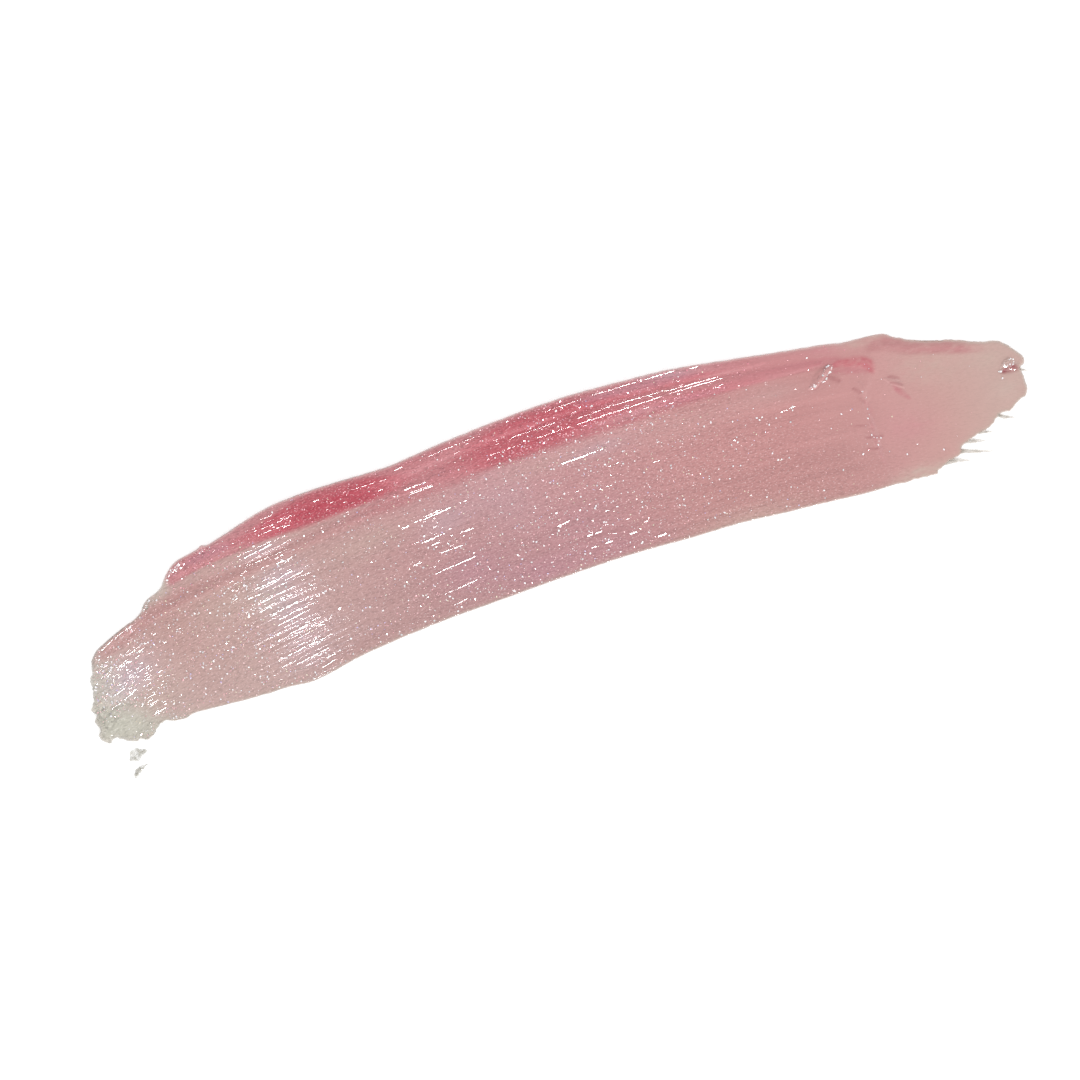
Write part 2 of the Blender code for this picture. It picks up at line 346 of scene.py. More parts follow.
# Thick deposits. Each is one piece.
RIDGES = {
    "outer_bead": Ridge((
        (-22.3, 3.30, 0.22), (-20.2, 3.72, 0.45), (-17.0, 4.25, 0.75), (-14.0, 4.62, 0.84),
        (-11.0, 4.72, 0.76), (-8.0, 4.80, 0.56), (-5.0, 5.10, 0.48), (-2.0, 5.26, 0.50),
        (2.0, 5.38, 0.48), (6.0, 5.26, 0.44), (10.0, 4.98, 0.38), (13.0, 4.52, 0.34), (15.5, 4.12, 0.16),
    ), 0.125, lumpy=0.03),
    "inner_bead": Ridge((
        (-8.5, 3.62, 0.20), (-5.0, 3.88, 0.48), (-2.0, 4.08, 0.62), (2.0, 4.20, 0.68), (6.0, 4.18, 0.62),
        (10.0, 3.98, 0.56), (13.0, 3.66, 0.48), (16.0, 3.30, 0.36), (18.6, 2.98, 0.18),
    ), 0.115, lumpy=0.03),
    "rose_streak": Ridge((
        (-24.3, 1.25, 0.20), (-22.5, 1.62, 0.38), (-20.0, 1.90, 0.42), (-17.0, 2.24, 0.42),
        (-14.0, 2.64, 0.42), (-11.5, 2.95, 0.36), (-9.5, 3.12, 0.18),
    ), 0.07, 2.0),
    "start_rim": Ridge((
        (-28.2, 0.10, 0.10), (-27.5, 0.48, 0.22), (-26.4, 0.92, 0.26), (-25.4, 1.26, 0.24),
        (-24.8, 1.46, 0.10),
    ), 0.06, 1.3),
    "fold_ridge": Ridge((
        (17.60, 1.74, 0.12), (17.95, 1.84, 0.20), (18.25, 2.00, 0.13), (18.65, 2.26, 0.20),
        (19.08, 2.50, 0.18), (19.28, 2.62, 0.08),
    ), 0.11, 1.3, 0.35),
    "pigment_pool": Ridge((
        (19.30, 2.62, 0.12), (19.80, 2.66, 0.30), (20.45, 2.52, 0.42), (21.10, 2.30, 0.48),
        (21.55, 1.95, 0.34), (21.60, 1.55, 0.16),
    ), 0.06, 1.8),
    "lap_ridge": Ridge((
        (20.55, 1.15, 0.10), (20.60, 0.55, 0.20), (20.40, -0.40, 0.16), (20.45, -1.40, 0.20),
        (20.40, -2.30, 0.26), (20.30, -3.20, 0.20), (20.40, -3.75, 0.10),
    ), 0.05, 1.8),
    "drag_mark": Ridge((
        (22.00, 0.88, 0.08), (22.30, 0.62, 0.17), (22.62, 0.36, 0.18), (22.98, 0.02, 0.07),
    ), 0.05, 1.6),
    "tail_streak": Ridge((
        (22.4, 2.86, 0.20), (24.0, 2.22, 0.34), (25.6, 1.74, 0.30), (27.2, 1.20, 0.24),
        (28.6, 0.80, 0.10),
    ), 0.04, 2.0),
    "pigment_spot": Ridge((
        (28.80, -0.92, 0.10), (29.08, -0.78, 0.26), (29.42, -0.76, 0.38), (29.72, -0.96, 0.26),
        (29.84, -1.10, 0.10),
    ), 0.12, 1.3, 0.35),
    "edge_nub": Ridge((
        (-20.36, 4.16, 0.08), (-20.14, 4.30, 0.16), (-19.94, 4.30, 0.12), (-19.80, 4.24, 0.06),
    ), 0.14, 1.1),
}


@dataclass(frozen=True)
class Strand:
    """A hair-fine strand that a bristle drew out: a tent whose straight flanks glint along a lamp."""

    x: float
    y: float
    to_x: float
    to_y: float
    half: float = 0.045
    broken: float = 0.35  # 0 keeps it whole, 1 breaks it into dots


# Each strand's two ends, its half width, and how broken it is
STRANDS = tuple(Strand(*row) for row in (
    # The thick edge's ridge lines
    (1.9, 5.53, 4.6, 5.56, 0.024, 0.5), (4.9, 5.56, 8.0, 5.46, 0.029, 0.4),
    (7.8, 5.47, 10.4, 5.36, 0.036), (11.1, 5.19, 11.7, 5.16, 0.042), (3.6, 4.52, 6.2, 4.58, 0.022, 0.5),
    (5.8, 4.60, 9.3, 4.42, 0.026), (9.3, 4.36, 12.8, 4.18, 0.020, 0.3),
    (1.0, 4.18, 3.4, 4.19, 0.026, 0.4), (3.2, 4.19, 9.4, 4.16, 0.024, 0.2),
    (9.3, 4.19, 13.05, 4.02, 0.024, 0.25), (-0.2, 4.70, 2.6, 4.72, 0.025, 0.6),
    (-2.0, 4.10, 0.2, 4.15, 0.025, 0.6), (-7.6, 5.08, -7.1, 5.14, 0.05), (-5.6, 5.22, -2.2, 5.45, 0.022),
    (-20.0, 4.28, -18.9, 4.34, 0.034), (-18.0, 4.34, -15.2, 4.32, 0.042, 0.45),
    (-16.2, 4.86, -15.4, 4.94, 0.042), (-12.9, 4.88, -12.5, 4.90, 0.05),
    (-11.2, 4.86, -8.0, 4.72, 0.029, 0.5), (-16.7, 4.02, -14.8, 4.10, 0.042, 0.6),
    (-19.6, 3.98, -17.9, 4.06, 0.029, 0.7), (-15.9, 4.35, -14.0, 4.50, 0.025, 0.6),
    # Bright dashes at the first cluster
    (-18.6, 2.95, -17.9, 3.00, 0.025, 0.6), (-17.9, 3.00, -16.98, 3.13, 0.058, 0.3),
    (-16.86, 3.13, -16.05, 3.30, 0.076, 0.3), (-18.4, 3.20, -15.8, 3.45, 0.021, 0.4),
    (-15.9, 3.40, -15.0, 3.48, 0.025, 0.6), (-17.9, 2.46, -16.2, 2.62, 0.029, 0.5),
    (-16.4, 2.58, -15.0, 2.68, 0.034, 0.5), (-16.2, 2.05, -15.0, 2.14, 0.038, 0.5),
    (-18.1, 1.00, -16.0, 1.18, 0.042, 0.15), (-17.6, 0.92, -16.2, 1.06, 0.024, 0.2),
    (-16.2, 1.20, -15.3, 1.36, 0.034, 0.3), (-18.4, 0.60, -17.5, 0.66, 0.046, 0.4),
    (-18.0, 0.10, -16.9, 0.24, 0.042, 0.4), (-16.9, 0.28, -15.4, 0.45, 0.032, 0.4),
    (-16.6, -0.02, -15.9, 0.02, 0.055, 0.2), (-18.0, -0.42, -17.2, -0.22, 0.038, 0.3),
    (-17.5, -0.80, -15.6, -0.46, 0.105, 0.5), (-17.1, -1.18, -15.4, -0.90, 0.038, 0.3),
    (-17.3, -1.52, -15.0, -1.16, 0.038, 0.3), (-16.7, -2.18, -15.3, -1.94, 0.095, 0.45),
    (-15.6, -1.86, -14.6, -1.80, 0.05, 0.4), (-17.4, -3.42, -15.3, -3.10, 0.038, 0.5),
    (-17.8, -3.94, -16.9, -3.84, 0.046, 0.4), (-16.9, -4.06, -15.4, -3.80, 0.046, 0.5),
    (-17.0, -4.42, -16.3, -4.50, 0.08, 0.6), (-15.9, -3.30, -14.2, -2.96, 0.046, 0.5),
    (-16.0, -3.92, -14.7, -3.72, 0.042, 0.4), (-15.15, -4.24, -14.5, -4.18, 0.08, 0.2),
    (-15.5, -4.72, -14.6, -4.52, 0.042, 0.4), (-14.9, -0.62, -14.2, -0.52, 0.046, 0.6),
    (-16.0, -0.02, -14.3, 0.20, 0.034, 0.7), (-16.0, 0.96, -14.6, 1.15, 0.034, 0.7),
    (-15.8, -1.00, -14.4, -0.86, 0.038, 0.5),
    # The second
    (-7.5, 3.80, -6.0, 3.84, 0.055, 0.3), (-7.3, 3.42, -5.6, 3.48, 0.029, 0.2),
    (-7.25, 3.52, -5.6, 3.56, 0.025, 0.2), (-8.26, 1.62, -7.83, 1.70, 0.05),
    (-7.6, 1.74, -7.0, 1.78, 0.042, 0.8), (-6.96, 1.74, -5.04, 1.92, 0.05, 0.1),
    (-6.9, 1.86, -5.6, 1.98, 0.025, 0.3), (-4.8, 1.96, -4.1, 2.02, 0.042, 0.8),
    (-7.5, 0.42, -5.9, 0.58, 0.071, 0.5), (-6.9, 0.12, -6.4, 0.16, 0.042),
    (-5.04, 0.28, -4.2, 0.31, 0.055, 0.15), (-8.35, -0.68, -7.83, -0.65, 0.05),
    (-6.6, -0.48, -5.1, -0.46, 0.046, 0.35), (-7.3, -1.60, -6.0, -1.44, 0.038, 0.25),
    (-6.0, -1.46, -4.6, -1.33, 0.05, 0.2), (-7.2, -2.92, -4.9, -2.70, 0.038, 0.55),
    (-6.9, -3.74, -5.9, -3.60, 0.029, 0.5),
    # The third and beyond
    (1.94, 2.26, 3.78, 2.29, 0.067, 0.1), (3.7, 2.29, 4.7, 2.31, 0.046, 0.8),
    (0.62, -1.24, 1.38, -1.14, 0.059, 0.2), (2.12, -2.33, 2.42, -2.33, 0.063, 0.1),
    (2.66, -2.33, 3.0, -2.33, 0.071, 0.1), (2.13, -3.10, 2.44, -3.10, 0.05, 0.1),
    (3.05, -3.09, 3.43, -3.09, 0.067, 0.1), (4.58, -3.04, 4.98, -3.04, 0.063, 0.1),
    (6.15, -3.72, 6.6, -3.70, 0.084, 0.1), (2.3, 0.38, 2.9, 0.40, 0.034, 0.6),
    (4.6, 1.20, 5.5, 1.24, 0.029, 0.7),
    # The start
    (-27.2, -0.92, -26.3, -0.62, 0.034, 0.3), (-27.1, -0.78, -26.35, -0.52, 0.025, 0.3),
    (-26.3, -0.26, -25.4, 0.02, 0.034, 0.4), (-28.2, -3.02, -27.6, -2.86, 0.038, 0.2),
    (-27.4, -2.78, -26.35, -2.30, 0.042, 0.2), (-27.8, -2.30, -27.0, -2.08, 0.034, 0.3),
    (-26.0, -4.16, -25.1, -3.96, 0.042, 0.2), (-28.3, -1.10, -27.6, -0.85, 0.042, 0.4),
    (-28.2, -0.42, -27.5, -0.22, 0.029, 0.5), (-26.1, -3.58, -25.4, -3.38, 0.038, 0.3),
    (-24.6, -3.70, -24.0, -3.58, 0.034, 0.3), (-26.0, -3.10, -25.5, -2.98, 0.042, 0.3),
    # Rims and folds
    (-27.95, 0.38, -26.8, 0.90, 0.019, 0.05), (-26.9, 0.87, -24.8, 1.55, 0.017, 0.0),
    (-22.5, 3.42, -21.55, 3.92, 0.084, 0.2), (-22.3, 3.36, -21.2, 3.82, 0.034, 0.6),
    (-20.36, 3.98, -20.02, 4.24, 0.059, 0.1), (17.66, 1.76, 18.0, 1.88, 0.046, 0.3),
    (18.2, 2.02, 18.75, 2.34, 0.034, 0.3), (18.7, 2.42, 19.16, 2.58, 0.034, 0.3),
    (18.85, 2.30, 19.14, 2.46, 0.028, 0.3), (16.1, 2.0, 16.9, 2.02, 0.025, 0.8),
    (16.0, 1.00, 16.4, 1.04, 0.026, 0.5), (15.2, 0.98, 15.9, 0.98, 0.025, 0.7),
    (29.0, -0.62, 29.5, -0.50, 0.067, 0.4), (28.72, -0.94, 28.9, -0.86, 0.05, 0.1),
    (22.7, 0.56, 23.0, 0.34, 0.029, 0.1), (22.5, 0.72, 22.9, 0.50, 0.025, 0.1),
    (26.55, -2.95, 26.66, -3.1, 0.025, 0.1),
))


@dataclass(frozen=True)
class Dashes:
    """A loose crowd of short strands: its middle, half length and half width, and which way they run."""

    x: float
    y: float
    length: float
    width: float
    count: int
    turn: float
    seed: int

    def strands(self) -> list[Strand]:
        """The strands, thickest crowded at the middle."""
        rng = np.random.default_rng(self.seed)
        made = []
        for _ in range(self.count):
            x = self.x + self.length * rng.normal(0.0, 0.5)
            y = self.y + self.width * rng.normal(0.0, 0.5)
            turn = math.radians(self.turn + rng.normal(0.0, 1.5))
            run = 0.5 * rng.uniform(0.08, 0.55) * rng.uniform(0.4, 1.0)
            half = rng.uniform(0.014, 0.038)
            dx, dy = run * math.cos(turn), run * math.sin(turn)
            made.append(Strand(x - dx, y - dy, x + dx, y + dy, half, 0.3))
        return made


DASHES = tuple(Dashes(*row) for row in (
    (-26.9, -1.2, 1.4, 1.2, 46, 16, 301), (-25.6, -2.2, 1.2, 1.2, 40, 14, 302),
    (-24.6, -3.9, 1.4, 0.7, 14, 10, 303), (-24.2, 0.2, 1.4, 0.9, 12, 14, 304),
    (-16.2, 1.3, 1.5, 1.5, 20, 6, 305), (-15.6, -2.4, 1.4, 2.0, 11, 9, 306),
    (-18.9, 1.6, 1.0, 0.8, 10, 12, 307), (-6.2, 0.4, 2.0, 2.6, 20, 4, 308),
    (-17.0, 4.2, 2.6, 0.5, 12, 5, 309), (-11.5, 4.3, 3.0, 0.6, 8, 4, 310),
    (-2.0, 4.6, 3.5, 0.8, 7, 2, 311), (4.0, 4.5, 4.0, 0.7, 9, 0, 312), (10.5, 4.1, 3.5, 0.6, 7, -3, 313),
    (3.5, -1.5, 3.5, 2.6, 18, 0, 314),
))


class Relief:
    """The height of the smear's surface, in mm, over every point of its plan."""

    rims: tuple[float, float] = (0.05, 0.22)  # how wide the edge's curve is, thin side and thick side
    sheer: float = 0.30
    tail: float = 0.20
    tip: float = 0.22
    heap: float = 0.18  # how much more there is under the thick edge
    tip_slant: float = 0.72  # the tip's seam runs aslant, so it is nearer than x alone tells

    drift = Ripple(21, 9.0, 3.0, 0.25)
    combed = (Ripple(22, 16.0, 0.85, 0.028), Ripple(23, 9.0, 0.34, 0.014), Ripple(24, 5.0, 0.17, 0.006))
    scratches = Ripple(25, 0.55, 0.16, 0.004)
    grains = (Ripple(31, 0.17, 0.17), Ripple(32, 0.09, 0.09, 0.6))
    torn = Ripple(33, 0.6, 0.5, 0.5)
    swell = Ripple(41, 5.0, 1.7, 0.012)

    def __init__(self) -> None:
        """Lays out the edge and the seams."""
        outline = np.vstack([edge.line(0.02) for edge in OUTER_EDGES])
        self.edge_tree = KDTree(len(outline))
        for number, (x, y) in enumerate(outline):
            self.edge_tree.insert((x, y, 0.0), number)
        self.edge_tree.balance()
        self.lap = smooth_line(LAP_SEAM, 8)
        self.tip_line = smooth_line(TIP_SEAM, 8)

    def inset(self, x: np.ndarray, y: np.ndarray) -> np.ndarray:
        """Distance from the smear's edge, in mm."""
        find = self.edge_tree.find
        flat = [find((a, b, 0.0))[2] for a, b in zip(x.ravel(), y.ravel())]
        return np.asarray(flat).reshape(x.shape)

    def past_lap(self, x: np.ndarray, y: np.ndarray) -> np.ndarray:
        """How far a point lies past the lap into the tail, in mm."""
        return x - np.interp(y, self.lap[:, 1], self.lap[:, 0])

    def past_tip(self, x: np.ndarray, y: np.ndarray) -> np.ndarray:
        """How far a point lies past the clear tip into the sheer film, in mm."""
        return (x - np.interp(y, self.tip_line[:, 1], self.tip_line[:, 0])) * self.tip_slant

    def combing(self, x: np.ndarray, y: np.ndarray) -> np.ndarray:
        """The ridges that the flocked tip leaves along the stroke, in mm."""
        s, t = SWEEP.arc(x, y)
        before_tail = 1.0 - 0.85 * smoothstep(17.0, 21.5, s)
        start = 1.0 - smoothstep(-25.0, -22.5, s)
        combed = layered(self.combed, s, t + self.drift.at(s, t))
        return before_tail * combed + start * self.scratches.at(s, t - 0.1 * s)

    def lumps(self, x: np.ndarray, y: np.ndarray) -> np.ndarray:
        """Froth along the start, and crumbs along the lap, in mm."""
        start = 1.0 - smoothstep(-28.9, -27.2, x + 0.2 * y)
        crest = np.exp(-(((x + 24.4) / 0.55) ** 2) - ((y - 2.1) / 0.35) ** 2)
        lap = np.exp(-((self.past_lap(x, y) + 0.25) / 0.35) ** 2) * smoothstep(-4.4, -3.4, y)
        lap = lap * (1.0 - smoothstep(0.9, 1.5, y)) * (0.5 + self.torn.at(x, y))
        pool = np.exp(-(((x - 18.6) / 1.2) ** 2) - ((y - 2.1) / 0.5) ** 2)
        smooth = 1.0 - smoothstep(0.0, 1.0, 1.0 - (((x + 27.4) / 1.4) ** 2 + ((y + 4.2) / 0.85) ** 2))
        height = 0.045 * start * smooth + 0.05 * crest + 0.030 * lap + 0.03 * pool
        return height * np.clip(layered(self.grains, x, y), -0.6, 1.2)

    def skin(self, x: np.ndarray, y: np.ndarray) -> np.ndarray:
        """The films' surface, with nothing lying on them."""
        past_lap = self.past_lap(x, y)
        thick = self.tip + (self.sheer - self.tip) * smoothstep(0.0, 1.5, self.past_tip(x, y))
        step = smoothstep(-0.30, 0.10, past_lap)
        gentle = smoothstep(-2.5, 1.5, past_lap)
        low = smoothstep(0.8, 1.8, y)
        thick = thick + (self.tail - thick) * (step * (1.0 - low) + gentle * low)
        s, t = SWEEP.arc(x, y)
        heaped = smoothstep(-22.0, -16.0, s) * (1.0 - smoothstep(11.0, 20.0, s))
        thick = thick + self.heap * heaped * smoothstep(2.6, 4.8, t)
        waves = self.swell.at(s, t) + self.combing(x, y)
        inset = self.inset(x, y)
        curve = self.rims[0] + (self.rims[1] - self.rims[0]) * smoothstep(-1.0, 1.0, t)
        level = (thick + waves) * rounded(inset / curve) + self.lumps(x, y) * smoothstep(0.0, 0.15, inset)
        return np.maximum(level, THINNEST_FILM)

    def surface(self, x: np.ndarray, y: np.ndarray) -> np.ndarray:
        """The top of everything, deposits included."""
        return self.skin(x, y) + np.max([ridge.rise(x, y) for ridge in RIDGES.values()], axis=0)


class Hue(Enum):
    """The colours painted on the gloss, as screen values. Some of them stand for light and shade on it, as
    marked.
    """

    CLEAR = (203, 200, 187)
    # The rim: partly the thinning gloss's own tint, partly painted reflection and shade of its steep edge
    RIM = (194, 182, 168)
    # Painted shadow: the thin dark line just outside the rim at the start
    BROWN = (140, 112, 98)
    BEIGE = (203, 178, 168)
    ROSE = (199, 133, 138)
    DEEP = (195, 99, 110)
    DEEPEST = (183, 84, 96)
    WINE = (158, 98, 102)
    POOL = (197, 114, 122)
    ASH = (172, 168, 156)
    GREY = (192, 184, 174)
    # Painted shade and painted glint of the bubbles: the first on their lower sides, the second on their
    # tops
    SOOT = (150, 141, 128)
    FOAM = (222, 220, 210)
    PINK = (206, 148, 152)
    # The pearl's mauve tint, partly painted sheen where the light skims it
    MAUVE = (192, 142, 156)
    # Painted sheen: the lavender veil round the clusters of glints
    LAVENDER = (206, 187, 198)
    PALE = (208, 176, 172)
    DUSK = (184, 138, 136)
    STREAK = (195, 142, 142)


@dataclass(frozen=True)
class Wash:
    """Ground colours along the stroke: s in mm and a screen colour, for each edge of the sweep."""

    upper: tuple = (
        (-29, (203, 186, 178)), (-26, (203, 170, 165)), (-23, (198, 160, 155)), (-20, (200, 164, 159)),
        (-14, (201, 165, 161)), (-8, (201, 156, 156)), (-2, (203, 155, 158)), (4, (204, 154, 155)),
        (10, (206, 150, 150)), (16, (204, 149, 148)), (22, (206, 157, 155)), (25, (205, 163, 158)),
        (28, (203, 171, 164)),
    )
    lower: tuple = (
        (-29, (203, 198, 186)), (-26, (203, 182, 175)), (-23, (203, 174, 169)), (-20, (200, 171, 166)),
        (-14, (195, 162, 159)), (-8, (190, 151, 150)), (-2, (190, 147, 148)), (4, (194, 146, 148)),
        (10, (196, 148, 146)), (16, (198, 148, 146)), (22, (202, 154, 152)), (25, (204, 161, 156)),
        (28, (202, 170, 162)),
    )
    upper_t: float = 2.0
    lower_t: float = -4.4

    def colour(self, s: np.ndarray, t: np.ndarray) -> np.ndarray:
        """The ground colour at each point, in linear light."""
        rows = []
        for stops in (self.lower, self.upper):
            places = [place for place, _ in stops]
            shades = np.array([linear(shade) for _, shade in stops])
            rows.append(np.stack([np.interp(s, places, shades[:, k]) for k in range(3)], axis=-1))
        share = np.clip((t - self.lower_t) / (self.upper_t - self.lower_t), 0.0, 1.0)[..., None]
        return rows[0] + (rows[1] - rows[0]) * share


@dataclass(frozen=True)
class Band(Route):
    """A stripe of pigment along a route."""

    hue: Hue
    strength: float = 1.0
    core: float = 0.55  # the share of the half width that takes full colour
    ends: tuple[float, float] = (0.2, 0.2)  # the share of the run over which each end fades in or out

    def cover(self, x: np.ndarray, y: np.ndarray) -> np.ndarray:
        """How fully it covers each point."""
        reach, place = self.nearest(x, y, 1.3)
        faded = smoothstep(0.0, self.ends[0], place) * smoothstep(0.0, self.ends[1], 1.0 - place)
        return self.strength * faded * (1.0 - smoothstep(self.core, 1.15, reach))


@dataclass(frozen=True)
class Blot:
    """A soft oval patch of pigment: middle, half length, half width and turn in degrees."""

    x: float
    y: float
    length: float
    width: float
    turn: float
    hue: Hue
    strength: float = 0.5

    def cover(self, x: np.ndarray, y: np.ndarray) -> np.ndarray:
        """How fully it covers each point."""
        turn = math.radians(self.turn)
        along = (x - self.x) * math.cos(turn) + (y - self.y) * math.sin(turn)
        across = (y - self.y) * math.cos(turn) - (x - self.x) * math.sin(turn)
        return self.strength * np.exp(-((along / self.length) ** 2) - (across / self.width) ** 2)


BANDS = (
    # The thick edge's ground, then its two deep cores
    Band((
        (-22.9, 3.10, 0.30), (-21.5, 3.60, 0.52), (-20.0, 3.95, 0.62), (-17.0, 4.35, 0.80),
        (-14.0, 4.70, 1.00), (-11.0, 4.70, 0.95), (-8.0, 4.60, 0.98), (-5.0, 4.62, 1.18),
        (-2.0, 4.66, 1.36), (2.0, 4.68, 1.44), (6.0, 4.62, 1.36), (10.0, 4.42, 1.20), (13.0, 4.12, 1.00),
        (16.0, 3.75, 0.80), (19.0, 3.20, 0.52), (20.8, 2.85, 0.30),
    ), Hue.ROSE, 0.92, 0.88, (0.03, 0.25)),
    Band((
        (-20.0, 3.95, 0.20), (-17.0, 4.10, 0.42), (-14.0, 4.42, 0.95), (-11.0, 4.62, 0.98),
        (-8.5, 4.45, 0.62), (-6.2, 4.25, 0.25),
    ), Hue.DEEP, 0.90, 0.60, (0.35, 0.30)),
    Band((
        (-15.5, 4.15, 0.25), (-13.0, 4.25, 0.55), (-10.5, 4.30, 0.55), (-8.2, 4.15, 0.25),
    ), Hue.DEEPEST, 0.80, 0.30, (0.35, 0.35)),
    Band((
        (-5.5, 3.80, 0.25), (-2.5, 4.40, 1.05), (0.5, 4.70, 1.30), (3.5, 4.70, 1.25), (6.5, 4.45, 0.75),
        (9.5, 4.20, 0.30),
    ), Hue.DEEP, 0.75, 0.50, (0.30, 0.4)),
    Band((
        (-3.5, 3.65, 0.15), (-1.0, 3.78, 0.40), (2.0, 3.84, 0.42), (5.0, 3.86, 0.25), (8.0, 3.70, 0.12),
    ), Hue.DEEPEST, 0.35, 0.3, (0.25, 0.4)),
    Band((
        (-1.5, 5.45, 0.15), (0.8, 5.50, 0.34), (2.8, 5.30, 0.34), (5.0, 5.10, 0.15),
    ), Hue.DEEP, 0.30, 0.3),
    Band((
        (-1.0, 4.98, 0.15), (1.5, 5.02, 0.34), (5.0, 5.00, 0.34), (8.5, 4.80, 0.30), (11.0, 4.60, 0.30),
        (13.5, 4.25, 0.2),
    ), Hue.DEEP, 0.42, 0.3),
    Band((
        (8.0, 3.72, 0.15), (10.0, 3.62, 0.30), (13.0, 3.42, 0.28), (15.5, 3.15, 0.15),
    ), Hue.DEEP, 0.38, 0.3),
    # Mauve along the crests, painted as the sheen where the light skims them
    Band((
        (3.5, 5.45, 0.2), (6.0, 5.30, 0.34), (9.0, 5.05, 0.34), (12.0, 4.75, 0.2),
    ), Hue.MAUVE, 0.35, 0.2),
    Band((
        (5.0, 3.62, 0.15), (8.0, 3.66, 0.25), (11.0, 3.52, 0.25), (13.0, 3.36, 0.12),
    ), Hue.MAUVE, 0.2, 0.2),
    Band(((-21.6, 3.75, 0.2), (-19.8, 3.95, 0.4), (-18.2, 4.05, 0.2)), Hue.MAUVE, 0.4, 0.2),
    # The rose streak from the start of the stroke
    Band((
        (-28.4, -0.05, 0.45), (-26.5, 0.72, 0.60), (-24.8, 1.40, 0.66), (-22.5, 1.95, 0.66),
        (-20.0, 2.12, 0.55), (-17.0, 2.40, 0.50), (-14.0, 2.78, 0.58), (-11.0, 3.05, 0.62),
        (-8.5, 3.20, 0.60), (-6.0, 3.25, 0.3),
    ), Hue.STREAK, 0.48, 0.25, (0.06, 0.1)),
    Band((
        (-12.5, 3.10, 0.25), (-9.5, 3.30, 0.48), (-6.5, 3.38, 0.55), (-3.5, 3.35, 0.35),
        (-1.5, 3.30, 0.15),
    ), Hue.ROSE, 0.60, 0.3, (0.35, 0.35)),
    # Around the fold and down the tail
    Band((
        (12.0, 3.60, 0.30), (14.5, 3.45, 0.40), (17.0, 3.20, 0.42), (19.0, 2.92, 0.40),
        (20.2, 2.70, 0.30),
    ), Hue.ROSE, 0.70, 0.3),
    Band(((20.9, 2.10, 0.12), (21.35, 1.75, 0.24), (21.5, 1.25, 0.12)), Hue.POOL, 0.45, 0.3, (0.2, 0.3)),
    Band((
        (19.2, 2.62, 0.15), (20.0, 2.54, 0.34), (20.8, 2.36, 0.42), (21.4, 2.02, 0.40),
        (21.5, 1.40, 0.16),
    ), Hue.POOL, 0.60, 0.35, (0.1, 0.2)),
    Band((
        (19.0, 2.30, 0.15), (19.8, 2.10, 0.30), (20.8, 1.85, 0.34), (21.3, 1.50, 0.20),
    ), Hue.ROSE, 0.55, 0.2),
    Band((
        (21.2, 2.90, 0.25), (22.6, 2.86, 0.50), (24.0, 2.25, 0.60), (25.6, 1.72, 0.55),
        (27.2, 1.12, 0.48), (28.8, 0.52, 0.3),
    ), Hue.STREAK, 0.95, 0.35, (0.15, 0.3)),
    Band((
        (28.62, -1.05, 0.10), (29.0, -1.0, 0.24), (29.4, -0.98, 0.32), (29.75, -1.05, 0.26),
        (29.92, -1.12, 0.1),
    ), Hue.WINE, 0.85, 0.1, (0.25, 0.05)),
    Band(((22.15, 0.92, 0.05), (22.50, 0.82, 0.16), (22.95, 0.58, 0.08)), Hue.WINE, 0.38, 0.2),
    Band(((22.15, 0.58, 0.05), (22.60, 0.36, 0.15), (23.02, 0.12, 0.08)), Hue.WINE, 0.38, 0.2),
    Band((
        (22.3, 0.42, 0.10), (22.6, -0.05, 0.26), (22.85, -0.45, 0.20), (23.2, -0.85, 0.08),
    ), Hue.ROSE, 0.65, 0.1),
    # Torn gloss along the lap, its dark dashes painted as the shadows of its crumbs
    Band(((19.95, 1.02, 0.06), (20.20, 0.74, 0.15), (20.45, 0.45, 0.09)), Hue.WINE, 0.40, 0.2),
    Band(((20.10, 0.40, 0.06), (20.30, 0.10, 0.13), (20.50, -0.20, 0.08)), Hue.WINE, 0.18, 0.2),
    Band(((19.70, -2.10, 0.05), (20.40, -2.28, 0.15), (20.95, -2.36, 0.08)), Hue.WINE, 0.34, 0.2),
    Band(((19.60, -2.75, 0.05), (20.10, -2.90, 0.14), (20.60, -3.00, 0.06)), Hue.WINE, 0.30, 0.2),
    Band(((19.00, -1.10, 0.05), (19.60, -1.30, 0.12), (20.20, -1.45, 0.06)), Hue.WINE, 0.25, 0.2),
    # Painted shade beside the fold ridge: a dark patch left of the pool, and a grey shadow along its upper
    # side
    Band(((18.7, 2.20, 0.10), (19.15, 1.85, 0.28), (19.5, 1.50, 0.12)), Hue.WINE, 0.35, 0.1),
    Band(((17.9, 2.25, 0.06), (18.5, 2.60, 0.14), (19.2, 2.80, 0.10)), Hue.DUSK, 0.6, 0.2),
    # A rose tint down the lap
    Band((
        (20.5, 0.3, 0.10), (20.6, -0.6, 0.22), (20.4, -1.8, 0.26), (20.4, -3.4, 0.20), (20.5, -4.6, 0.1),
    ), Hue.ROSE, 0.25, 0.1),
    # The clear patch's upper border
    Band((
        (-29.0, -3.75, 0.05), (-28.6, -3.35, 0.10), (-27.9, -3.05, 0.10), (-27.2, -3.08, 0.10),
        (-26.5, -3.35, 0.05),
    ), Hue.ASH, 0.55, 0.2),
    Band(((-28.7, -4.2, 0.04), (-28.3, -3.85, 0.08), (-28.0, -3.62, 0.04)), Hue.ASH, 0.5, 0.2),
)
